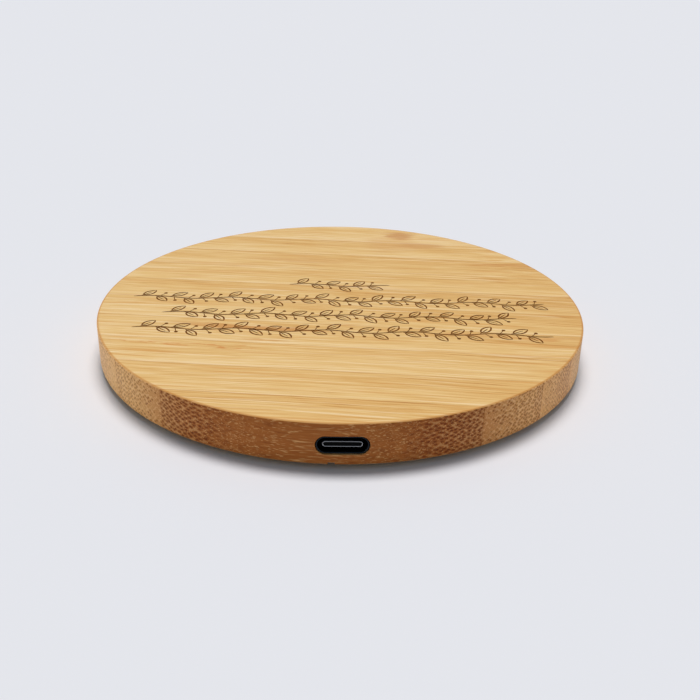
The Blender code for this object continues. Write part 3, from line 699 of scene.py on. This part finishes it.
def terminated(node, axis, colour):
    """A chip component's body with tinned caps at both ends of an axis (0 for X, 1 for Y)."""
    low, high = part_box(node)
    centre, half = (low[axis] + high[axis]) / 2 / MM, (high[axis] - low[axis]) / 2 / MM
    finish = Finish(f"{node}_finish", roughness=0.45, Specular_IOR_Level=0.45)
    place = finish.millimetres()
    reach = finish.math("ABSOLUTE", finish.minus(finish.split(place)[axis], centre))
    cap = finish.fade(reach, half * 0.66, half * 0.70)
    grit = finish.noise(place, scale=9.0, detail=3.0)["Fac"]
    body = finish.mottled(grit, colour, 0.88, 1.1)
    finish.surface(
        Base_Color=finish.mix(cap, body, (0.62, 0.62, 0.60, 1)),
        Metallic=cap,
        Roughness=finish.fade(grit, 0.2, 0.8, 0.34, 0.52),
        Normal=finish.bump(grit, 0.3, 0.02),
    )
    return finish.material


def film(name, colour, roughness, ripple_mm, transmission=0.0):
    """Thin tape, glue or glass: smooth, faintly rippled and a little see-through."""
    finish = Finish(name, roughness=roughness, Transmission_Weight=transmission)
    ripple = finish.noise(finish.millimetres(), scale=1 / ripple_mm, detail=2.0)["Fac"]
    finish.surface(
        Base_Color=finish.mottled(ripple, colour, 0.88, 1.08),
        Roughness=finish.fade(ripple, 0.2, 0.8, roughness * 0.8, roughness * 1.25),
        Normal=finish.bump(ripple, 0.25, 0.02),
    )
    return finish.material


# ---- the engraved ornament
def bezier(start, pull, end, count=9):
    """Points on a quadratic curve."""
    points = []
    for i in range(count):
        t = i / (count - 1)
        a, b, c = (1 - t) ** 2, 2 * t * (1 - t), t * t
        points.append(Vector([a * s + b * p + c * e for s, p, e in zip(start, pull, end)]))
    return points


def stroke_outline(points, width):
    """The outline of a burnt line along points, tapering over a short length at both ends."""
    steps = [(b - a).length for a, b in zip(points, points[1:])]
    total, run = sum(steps), 0.0
    left, right = [], []
    for i, point in enumerate(points):
        heading = (points[min(i + 1, len(points) - 1)] - points[max(i - 1, 0)]).normalized()
        swell = 0.4 + 0.6 * min(1.0, run / STROKE_TAPER, (total - run) / STROKE_TAPER)
        side = Vector((-heading.y, heading.x)) * width * swell / 2
        left.append(point + side)
        right.append(point - side)
        run += steps[i] if i < len(steps) else 0.0
    return right + left[::-1]


def leaf(base, heading, length, fullness):
    """A pointed leaf on a short stalk, drawn as two edges and a midrib."""
    stalk, belly, midrib_end = 0.16, 0.38, 0.74  # shares of the leaf's length
    along = Vector((math.cos(heading), math.sin(heading)))
    side = Vector((-along.y, along.x))
    foot, tip = base + along * length * stalk, base + along * length
    pulls = [foot + along * length * belly + side * sign * fullness for sign in (-1, 1)]
    midrib = bezier(base, base + along * length * 0.35, base + along * length * midrib_end)
    edges = [bezier(foot, pull, tip, 13) for pull in pulls]
    return [stroke_outline(midrib, MIDRIB), *(stroke_outline(edge, STROKE) for edge in edges)]


def berry(base, heading, reach, radius):
    """A round berry at the end of a thin stalk."""
    along = Vector((math.cos(heading), math.sin(heading)))
    centre = base + along * reach
    stalk = stroke_outline([base, base + along * reach / 2, centre - along * radius * 0.5], MIDRIB)
    return [stalk, [centre + Vector(point) for point in circle(radius, 16)]]


def branch(left, right, height, rng):
    """One row of ornament from left to right: a waving stem with leaves and berries on both sides."""
    wave, swing, step = 17.0, 0.55, 3.05
    first_leaf, last_leaf, last_berry = 1.4, 3.0, 1.5  # least distances from the row's ends
    berry_step, berry_lean, berry_reach, berry_radius = 1.35 * step, math.radians(62), 1.8, 0.38
    bend = 2 * math.pi / wave

    def stem(x):
        return Vector((x, height + swing * math.sin(bend * (x - left))))

    def slope(x):
        return math.atan(swing * bend * math.cos(bend * (x - left)))

    count = int((right - left) / 0.5)
    strokes = [stroke_outline([stem(left + (right - left) * i / count) for i in range(count + 1)], STROKE)]
    x, side = left + first_leaf, 1
    while x < right - last_leaf:
        lean = math.radians(rng.uniform(36, 43))
        length, fullness = rng.uniform(4.0, 4.5), rng.uniform(1.55, 1.75)
        strokes += leaf(stem(x), slope(x) + side * lean, length, fullness)
        bud = x + berry_step
        if bud < right - last_berry:
            strokes += berry(stem(bud), slope(bud) + side * berry_lean, berry_reach, berry_radius)
        x, side = x + step, -side
    return strokes


ROWS = (  # left end, right end and height of each row's middle
    (-41.0, 42.0, -14.6),
    (-36.5, 36.0, -7.1),
    (-44.0, 43.0, 0.9),
    (-11.5, 10.5, 9.4),
)


def ornament():
    """The outlines of every stroke, in metres."""
    rng = random.Random(7)
    turn = Matrix.Rotation(ENGRAVING_ANGLE, 2)
    return [[turn @ point for point in outline] for row in ROWS for outline in branch(*row, rng)]


def engraved_sheet(radius, steps):
    """The pad's flat face as a sheet, with every stroke sunk into it as a groove (material 1)."""
    outlines = [[Vector(point) / MM for point in circle(radius, steps)], *ornament()]
    points, loops = [], []
    for outline in outlines:
        loops.append(list(range(len(points), len(points) + len(outline))))
        points += outline
    inside_only, least_distance = 1, 1e-4
    corners, _, faces, _, _, sources = delaunay_2d_cdt(points, [], loops, inside_only, least_distance)

    def build(bm):
        placed = [bm.verts.new((x * MM, y * MM, BODY_TOP)) for x, y in corners]
        grooves = []
        for face, origins in zip(faces, sources):
            made = bm.faces.new([placed[i] for i in face])
            if max(origins, default=0) > 0:
                grooves.append(made)
        bm.normal_update()
        walls = bmesh.ops.inset_region(
            bm, faces=grooves, thickness=ENGRAVING_SLOPE, depth=-ENGRAVING_DEPTH, use_boundary=True
        )["faces"]
        for face in grooves + walls:
            face.material_index = 1

    return mesh_object("engraved_sheet", build)


def inlaid(body, sheet):
    """Replaces the body's flat top by a sheet with the same outline."""
    bm = bmesh.new()
    bm.from_mesh(body.data)
    top = [face for face in bm.faces if min(corner.co.z for corner in face.verts) > BODY_TOP - 1e-7]
    old = [face for face in top if face.calc_center_median().xy.length < RIM_BAND_INNER]
    bmesh.ops.delete(bm, geom=old, context="FACES")
    bm.from_mesh(sheet.data)
    bmesh.ops.remove_doubles(bm, verts=bm.verts, dist=1e-6)
    bm.to_mesh(body.data)
    bm.free()
    bpy.data.objects.remove(sheet)
    return body


# ---- bamboo housing
BODY_STEPS = 360
EDGE_RADIUS = 0.30 * MM
CHAMFER = 0.40 * MM
RIM_BAND_INNER = PAD_RADIUS - EDGE_RADIUS - 0.15 * MM  # a narrow flat band round the engraved sheet


def turned_body():
    """The disc as it leaves the lathe: round top edge, small chamfer below, pocket and rebate."""
    lip, shoulder = 0.12 * MM, 0.35 * CHAMFER
    profile = [
        (0.0, BODY_TOP),
        (RIM_BAND_INNER, BODY_TOP),
        *arc((PAD_RADIUS - EDGE_RADIUS, BODY_TOP - EDGE_RADIUS), EDGE_RADIUS, math.pi / 2, 0.0, 8),
        (PAD_RADIUS, BODY_BASE + CHAMFER),
        (PAD_RADIUS - shoulder, BODY_BASE + shoulder),
        (PAD_RADIUS - CHAMFER, BODY_BASE),
        (REBATE_RADIUS + lip, BODY_BASE),
        (REBATE_RADIUS, BODY_BASE + lip),
        (REBATE_RADIUS, LEDGE),
        (POCKET_RADIUS, LEDGE),
        (POCKET_RADIUS, CEILING),
        (0.0, CEILING),
    ]
    return turned("bamboo_housing_looks", profile, BODY_STEPS)


def bamboo_housing(wood, burnt):
    housing = turned_body()
    ear_radius, pilot_radius, bite = 3.6 * MM, 1.25 * MM, 0.5 * MM
    for node in COVER_SCREWS:
        spot = middle(node)
        add(housing, upright("ear", circle(ear_radius, 64), LEDGE + 0.1 * MM, CEILING + bite, spot))
        cut(housing, upright("pilot_hole", circle(pilot_radius, 32), LEDGE - OVERRUN, CEILING - bite, spot))
    bay_half, bay_front, bay_rear, bay_top = 8.5 * MM, -45.6 * MM, -40.0 * MM, PORT_HEIGHT + 2.2 * MM
    slot = stadium(SHELL_WIDTH + 2 * PORT_CLEARANCE, SHELL_HEIGHT + 2 * PORT_CLEARANCE, 32)
    slot_ends = (-PAD_RADIUS - OVERRUN, bay_front + OVERRUN)
    notch_half, notch_height, notch_middle = 0.6 * MM, 0.55 * MM, -1.85 * MM
    cut(
        housing,
        box("port_bay", (-bay_half, bay_front, LEDGE - OVERRUN / 2), (bay_half, bay_rear, bay_top)),
        along_socket("port_slot", [(slot, y) for y in slot_ends]),
        box(
            "pry_notch",
            (notch_middle - notch_half, -PAD_RADIUS - OVERRUN, BODY_BASE - OVERRUN),
            (notch_middle + notch_half, -REBATE_RADIUS + OVERRUN, BODY_BASE + notch_height),
        ),
    )
    inlaid(housing, engraved_sheet(RIM_BAND_INNER, BODY_STEPS))
    return finished(housing, "bamboo_housing", "bamboo", wood, burnt)


# ---- underside
def bottom_cover(plastic):
    rim, edge, lip = COVER_RADIUS, 0.3 * MM, 0.08 * MM
    ring_inner, ring_outer, ring_top = 19.4 * MM, 20.4 * MM, COVER_TOP + 0.7 * MM
    profile = [
        (0.0, COVER_TOP),
        (ring_inner, COVER_TOP),
        (ring_inner, ring_top - lip),
        (ring_inner + lip, ring_top),
        (ring_outer - lip, ring_top),
        (ring_outer, ring_top - lip),
        (ring_outer, COVER_TOP),
        (rim, COVER_TOP),
        *arc((rim - edge, COVER_BASE + edge), edge, 0.0, -math.pi / 2, 7),
        (0.0, COVER_BASE),
    ]
    cover = turned("bottom_cover_looks", profile, 288)
    below = COVER_BASE - OVERRUN
    boss_radius, boss_hole, boss_floor = 1.9 * MM, 1.0 * MM, COVER_BASE + 0.8 * MM
    for node in BOARD_SCREWS:
        spot = middle(node)
        add(cover, upright("boss", circle(boss_radius, 48), COVER_TOP - 0.3 * MM, BOSS_TOP, spot))
        cut(cover, upright("boss_hole", circle(boss_hole, 32), boss_floor, BOSS_TOP + OVERRUN, spot))
    head, hole, sink, foot_hole = 2.1 * MM, 1.2 * MM, 1.0 * MM, 4.65 * MM
    cone = [(0.0, COVER_TOP + OVERRUN), (hole, COVER_TOP + OVERRUN), (hole, COVER_BASE + sink)]
    recess = [(0.0, COVER_BASE + FOOT_RECESS), (foot_hole, COVER_BASE + FOOT_RECESS)]
    for nodes, top, radius, steps in ((COVER_SCREWS, cone, head, 48), (FEET, recess, foot_hole, 96)):
        mouth = [(radius, COVER_BASE + lip), (radius + lip, COVER_BASE), (radius + lip, below), (0.0, below)]
        for node in nodes:
            cut(cover, turned("sinking", top + mouth, steps, middle(node)))
    outline = rounded_box(LABEL_HIGH.x + LABEL_PLAY, LABEL_HIGH.y + LABEL_PLAY, 1.1 * MM)
    cut(cover, upright("label_recess", outline, below, COVER_BASE + LABEL_RECESS))
    return finished(cover, "bottom_cover", "black_plastic", plastic)


def rating_label(film_finish):
    bevel, corner = 0.03 * MM, 1.0 * MM
    wide = rounded_box(LABEL_HIGH.x, LABEL_HIGH.y, corner, 9)
    narrow = rounded_box(LABEL_HIGH.x - bevel, LABEL_HIGH.y - bevel, corner - bevel, 9)
    levels = ((narrow, LABEL_LOW.z), (wide, LABEL_LOW.z + bevel), (wide, LABEL_HIGH.z))
    label = stacked("rating_label_looks", levels)
    return finished(label, "rating_label", "label_film", film_finish)


def foot(node, rubber):
    """A rubber puck: straight sides in the recess, a round shoulder and a slightly dished sole."""
    low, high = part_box(node)
    radius, shoulder = (high.x - low.x) / 2, 0.4 * MM
    dish_radius, dish = 3.1 * MM, 0.08 * MM
    profile = [
        (0.0, high.z),
        (radius, high.z),
        (radius, low.z + shoulder),
        *arc((radius - shoulder, low.z + shoulder), shoulder, 0.0, -math.pi / 2, 8)[1:],
        (dish_radius, low.z),
        (dish_radius - dish, low.z + dish),
        (0.0, low.z + dish),
    ]
    puck = turned(f"{node}_looks", profile, 96, middle(node))
    return finished(puck, node, "rubber", rubber)


def cross_outline(width, arm):
    half = width / 2
    outline = []
    for quarter in range(4):
        turn = Matrix.Rotation(quarter * math.pi / 2, 2)
        outline += [tuple(turn @ Vector(corner)) for corner in ((arm, -half), (arm, half), (half, half))]
    return outline


def threaded(name, centre, head, core, crest, start, end, tip, pitch):
    """A screw along Z: (radius, height) pairs of its head, then a shank with a helical thread."""
    sections = [(height, radius, 0.0) for radius, height in head]
    sections_a_turn, run_out = 8, 1 / 8  # the thread fades out over a share of its length at both ends
    count = round(abs(end - start) / pitch * sections_a_turn)
    for i in range(count + 1):
        share = i / count
        ridge = (crest - core) * min(1, share / run_out, (1 - share) / run_out)
        sections.append((start + (end - start) * share, core, ridge))
    sections.append((tip, core * 0.3, 0.0))
    rings, steps = [], 32
    for height, radius, ridge in sections:
        ring = []
        for i in range(steps):
            phase = ((height - start) / pitch - i / steps) % 1.0
            reach = radius + ridge * (1 - abs(2 * phase - 1))
            angle = 2 * math.pi * i / steps
            ring.append((centre[0] + reach * math.cos(angle), centre[1] + reach * math.sin(angle), height))
        rings.append(ring)
    return loft(name, rings)


def cover_screw(node, steel):
    low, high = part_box(node)
    spot = middle(node)
    head_radius, edge, core, crest = 1.8 * MM, 0.06 * MM, 0.80 * MM, 1.05 * MM
    head = [
        (head_radius - edge, low.z),
        (head_radius, low.z + edge),
        (head_radius, low.z + 0.15 * MM),
        (core, low.z + 1.0 * MM),
    ]
    thread_start, thread_end = LEDGE + 0.4 * MM, high.z - 0.6 * MM
    screw = threaded(f"{node}_looks", spot, head, core, crest, thread_start, thread_end, high.z, 0.8 * MM)
    mouth, floor_shape = cross_outline(0.46 * MM, 1.0 * MM), cross_outline(0.30 * MM, 0.55 * MM)
    levels = ((mouth, low.z - 0.2 * MM), (mouth, low.z), (floor_shape, low.z + 0.6 * MM))
    cut(screw, stacked("recess", levels, spot))
    return finished(screw, node, "screw_steel", steel)


# ---- USB-C socket
def solder_tab(side, row):
    """One leg of the shell: out over the board, then down through it. side is -1 or 1."""
    inner, thick = SHELL_WIDTH / 2 - SHELL_WALL / 2, 0.25 * MM
    low, shelf = BOARD_LOW.z + 0.2 * MM, BOARD_HIGH.z + HAIR_GAP
    outline = [
        (inner, shelf), (TAB_SIDE, shelf), (TAB_SIDE, low),
        (TAB_SIDE + thick, low), (TAB_SIDE + thick, shelf + thick), (inner, shelf + thick),
    ]
    ends = (row - TAB_WIDTH / 2, row + TAB_WIDTH / 2)
    return loft("tab", [[(side * x, y, z) for x, z in outline] for y in ends])


def usb_shell(plated):
    """The drawn steel shell with a round lip, and its four solder tabs."""
    wall, lip_steps = SHELL_WALL, 9
    half = wall / 2
    rings = [(0.0, SHELL_REAR)]
    for i in range(lip_steps):
        angle = math.pi * i / (lip_steps - 1)
        rings.append((half - half * math.cos(angle), SHELL_MOUTH + half - half * math.sin(angle)))
    rings.append((wall, SHELL_REAR))
    sections = [(stadium(SHELL_WIDTH - 2 * inset, SHELL_HEIGHT - 2 * inset, 32), y) for inset, y in rings]
    shell = along_socket("usb_shell_looks", sections, closed=True)
    for side in (-1, 1):
        add(shell, *(solder_tab(side, row) for row in TAB_ROWS))
    return finished(shell, "usb_shell", "shell_metal", plated)


def usb_insulator(plastic):
    """The black moulding: a base that fills the shell's rear, and the tongue with the contacts' slots."""
    inset = 2 * (SHELL_WALL + HAIR_GAP)
    outline = stadium(SHELL_WIDTH - inset, SHELL_HEIGHT - inset, 32)
    base = along_socket("usb_insulator_looks", ((outline, BASE_FRONT), (outline, BASE_REAR)))
    bevel = 0.10 * MM
    wide = stadium(TONGUE_WIDTH, TONGUE_THICKNESS, 12)
    narrow = stadium(TONGUE_WIDTH - 2 * bevel, TONGUE_THICKNESS - 2 * bevel, 12)
    sections = ((narrow, TONGUE_TIP), (wide, TONGUE_TIP + bevel), (wide, BASE_FRONT + 0.4 * MM))
    add(base, along_socket("tongue", sections))
    for node in CONTACTS:
        low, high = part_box(node)
        side = 1 if int(node[-1]) <= 3 else -1
        slot_low, slot_high = TONGUE_THICKNESS / 2 + HAIR_GAP / 2, TONGUE_THICKNESS / 2 + 0.25 * MM
        near, far = sorted((PORT_HEIGHT + side * slot_low, PORT_HEIGHT + side * slot_high))
        cut(base, box(
            "contact_slot",
            (low.x - HAIR_GAP, BASE_FRONT - 0.2 * MM, near),
            (high.x + HAIR_GAP, BASE_REAR + 0.2 * MM, far),
        ))
    return finished(base, "usb_insulator", "black_plastic", plastic)


def usb_midplate(bright):
    """The steel plate's visible part: a rolled edge round the tongue's tip and a rail down each side."""
    inner = (TONGUE_WIDTH + 2 * MIDPLATE_PLAY, TONGUE_THICKNESS + 2 * MIDPLATE_PLAY)
    front, rear, roll = MIDPLATE_FRONT, TONGUE_TIP + 0.35 * MM, 0.04 * MM
    wall = MIDPLATE_WALL
    rings = [(wall, rear), (wall, front + roll), (wall - roll, front)]
    rings += [(roll, front), (0.0, front + roll), (0.0, rear)]
    sections = [(stadium(inner[0] + 2 * grow, inner[1] + 2 * grow, 16), y) for grow, y in rings]
    plate = along_socket("usb_midplate_looks", sections, closed=True)
    for side in (-1, 1):
        near, far = sorted((side * inner[0] / 2, side * (inner[0] / 2 + wall * 0.8)))
        half_height = 0.2 * MM
        add(plate, box(
            "rail",
            (near, TONGUE_TIP + 0.175 * MM, PORT_HEIGHT - half_height),
            (far, BASE_FRONT - HAIR_GAP, PORT_HEIGHT + half_height),
        ))
    return finished(plate, "usb_midplate", "midplate_metal", bright)


# ---- inner pieces
def inner_pieces(steel):
    """Materials of the pieces inside the pad, which keep their modelled shape."""
    ceramic, resistor = (0.45, 0.31, 0.19), (0.030, 0.030, 0.032)
    dress(steel, *BOARD_SCREWS)
    dress(metal("contact_gold", (0.86, 0.62, 0.26), 0.22, (1.0, 0.1, 1.0), 0.05), *CONTACTS)
    dress(solder_mask(), "main_board")
    dress(litz_copper(), "charging_coil")
    dress(moulded("chip_epoxy", (0.022, 0.022, 0.024), 0.48, 0.06, 0.35), "controller_ic", "bridge_ic")
    dress(moulded("ferrite", (0.050, 0.050, 0.054), 0.58, 0.15, 0.4), "ferrite_shield", "filter_inductor")
    dress(moulded("foam", (0.045, 0.045, 0.050), 0.92, 0.35, 0.9), "foam_pad")
    dress(film("adhesive", (0.80, 0.75, 0.60), 0.55, 1.5), "coil_adhesive")
    dress(film("polyimide", (0.66, 0.32, 0.045), 0.22, 2.5, 0.25), "lead_tape")
    dress(film("thermistor_bead", (0.36, 0.10, 0.035), 0.18, 0.4, 0.3), "thermistor")
    dress(film("led_lens", (0.82, 0.83, 0.76), 0.25, 0.3, 0.4), "status_led")
    dress(terminated("sense_resistor", 0, resistor), "sense_resistor")
    for node in (*numbered("resonant_capacitor", 4), *numbered("input_capacitor", 2)):
        dress(terminated(node, 1, ceramic), node)


# ---- floor, camera and light
FLOOR_COLOUR = (0.79, 0.80, 0.84, 1.0)

KEY_COLOUR = (1.0, 0.965, 0.940)
KEYS = (("key_left", -160), ("key_right", 160))  # azimuth in degrees: 0 behind the camera, 90 to its right
SIDE_LIGHTS = (("left", -95, 1.55), ("right", 95, 1.02))  # azimuth and strength
SKY_COLOUR = (0.775, 0.895, 1.0, 1.0)
SKY_STRENGTH = 0.258

VIEW_AZIMUTH = math.radians(-1.4)
VIEW_ELEVATION = math.radians(26.17)
VIEW_ROLL = math.radians(1.252)
VIEW_DISTANCE = 196.18 * MM
VIEW_SHIFT = (2.087 * MM, -2.871 * MM)  # how far the camera aims right of and above the body's base
LENS_MM = 46.94


def floor():
    size = 6.0
    ground = mesh_object("floor", lambda bm: bmesh.ops.create_grid(bm, x_segments=1, y_segments=1, size=size))
    finish = Finish("floor", roughness=1.0, Specular_IOR_Level=0.0)
    finish.shader.inputs["Base Color"].default_value = FLOOR_COLOUR
    ground.data.materials.append(finish.material)


def camera():
    back = Vector((
        math.sin(VIEW_AZIMUTH) * math.cos(VIEW_ELEVATION),
        -math.cos(VIEW_AZIMUTH) * math.cos(VIEW_ELEVATION),
        math.sin(VIEW_ELEVATION),
    ))
    right = Vector((math.cos(VIEW_AZIMUTH), math.sin(VIEW_AZIMUTH), 0.0))
    up = back.cross(right)
    aim = Vector((0.0, 0.0, BODY_BASE)) + right * VIEW_SHIFT[0] + up * VIEW_SHIFT[1]
    rolled_right = right * math.cos(VIEW_ROLL) + up * math.sin(VIEW_ROLL)
    rolled_up = up * math.cos(VIEW_ROLL) - right * math.sin(VIEW_ROLL)
    data = bpy.data.cameras.new("camera")
    data.lens = LENS_MM
    data.sensor_width = 36.0
    data.clip_start = 0.005
    data.clip_end = 50.0
    obj = bpy.data.objects.new("camera", data)
    place = Matrix((rolled_right, rolled_up, back)).transposed().to_4x4()
    place.translation = aim + back * VIEW_DISTANCE
    obj.matrix_world = place
    bpy.context.scene.collection.objects.link(obj)
    bpy.context.scene.camera = obj


def sun(name, azimuth, elevation, strength, angle, colour=(1.0, 1.0, 1.0)):
    """A soft distant light, with its angles in degrees."""
    data = bpy.data.lights.new(name, "SUN")
    data.energy = strength
    data.angle = math.radians(angle)
    data.color = colour
    obj = bpy.data.objects.new(name, data)
    a, e = math.radians(azimuth), math.radians(elevation)
    towards = Vector((math.sin(a) * math.cos(e), -math.cos(a) * math.cos(e), math.sin(e)))
    obj.rotation_euler = towards.to_track_quat("Z", "Y").to_euler()
    bpy.context.scene.collection.objects.link(obj)
    return obj


def lights():
    """Two soft keys from behind, and low lights from both sides that only the pad receives."""
    pad = bpy.data.collections.new("pad")
    for obj in bpy.data.objects:
        if obj.type == "MESH" and obj.name != "floor":
            pad.objects.link(obj)
    for name, azimuth in KEYS:
        sun(name, azimuth, elevation=75, strength=1.277, angle=20, colour=KEY_COLOUR)
    for name, azimuth, strength in SIDE_LIGHTS:
        side_light = sun(name, azimuth, elevation=7, strength=strength, angle=50)
        side_light.light_linking.receiver_collection = pad
    world = bpy.data.worlds.new("world")
    world.use_nodes = True
    background = world.node_tree.nodes["Background"]
    background.inputs["Color"].default_value = SKY_COLOUR
    background.inputs["Strength"].default_value = SKY_STRENGTH
    bpy.context.scene.world = world
    bpy.context.scene.view_settings.view_transform = "Standard"


# ---- the whole scene
camera()
bamboo_housing(bamboo(), scorched())
black_plastic = moulded("black_plastic", (0.014, 0.015, 0.018), 0.50, 0.25, 0.5)
bottom_cover(black_plastic)
rating_label(label_film())
puck_rubber = moulded("rubber", (0.045, 0.045, 0.048), 0.78, 0.30, 0.5)
for node in FEET:
    foot(node, puck_rubber)
screw_steel = metal("screw_steel", (0.56, 0.57, 0.60), 0.30)
for node in COVER_SCREWS:
    cover_screw(node, screw_steel)
usb_shell(metal("shell_metal", (0.020, 0.024, 0.030), 0.32, (1.0, 0.1, 1.0)))
usb_insulator(moulded("port_plastic", (0.002, 0.002, 0.002), 0.60, 0.10, 0.3, Specular_IOR_Level=0.04))
usb_midplate(metal("midplate_metal", (0.42, 0.43, 0.45), 0.32, scratch_mm=0.1))
inner_pieces(screw_steel)
floor()
lights()
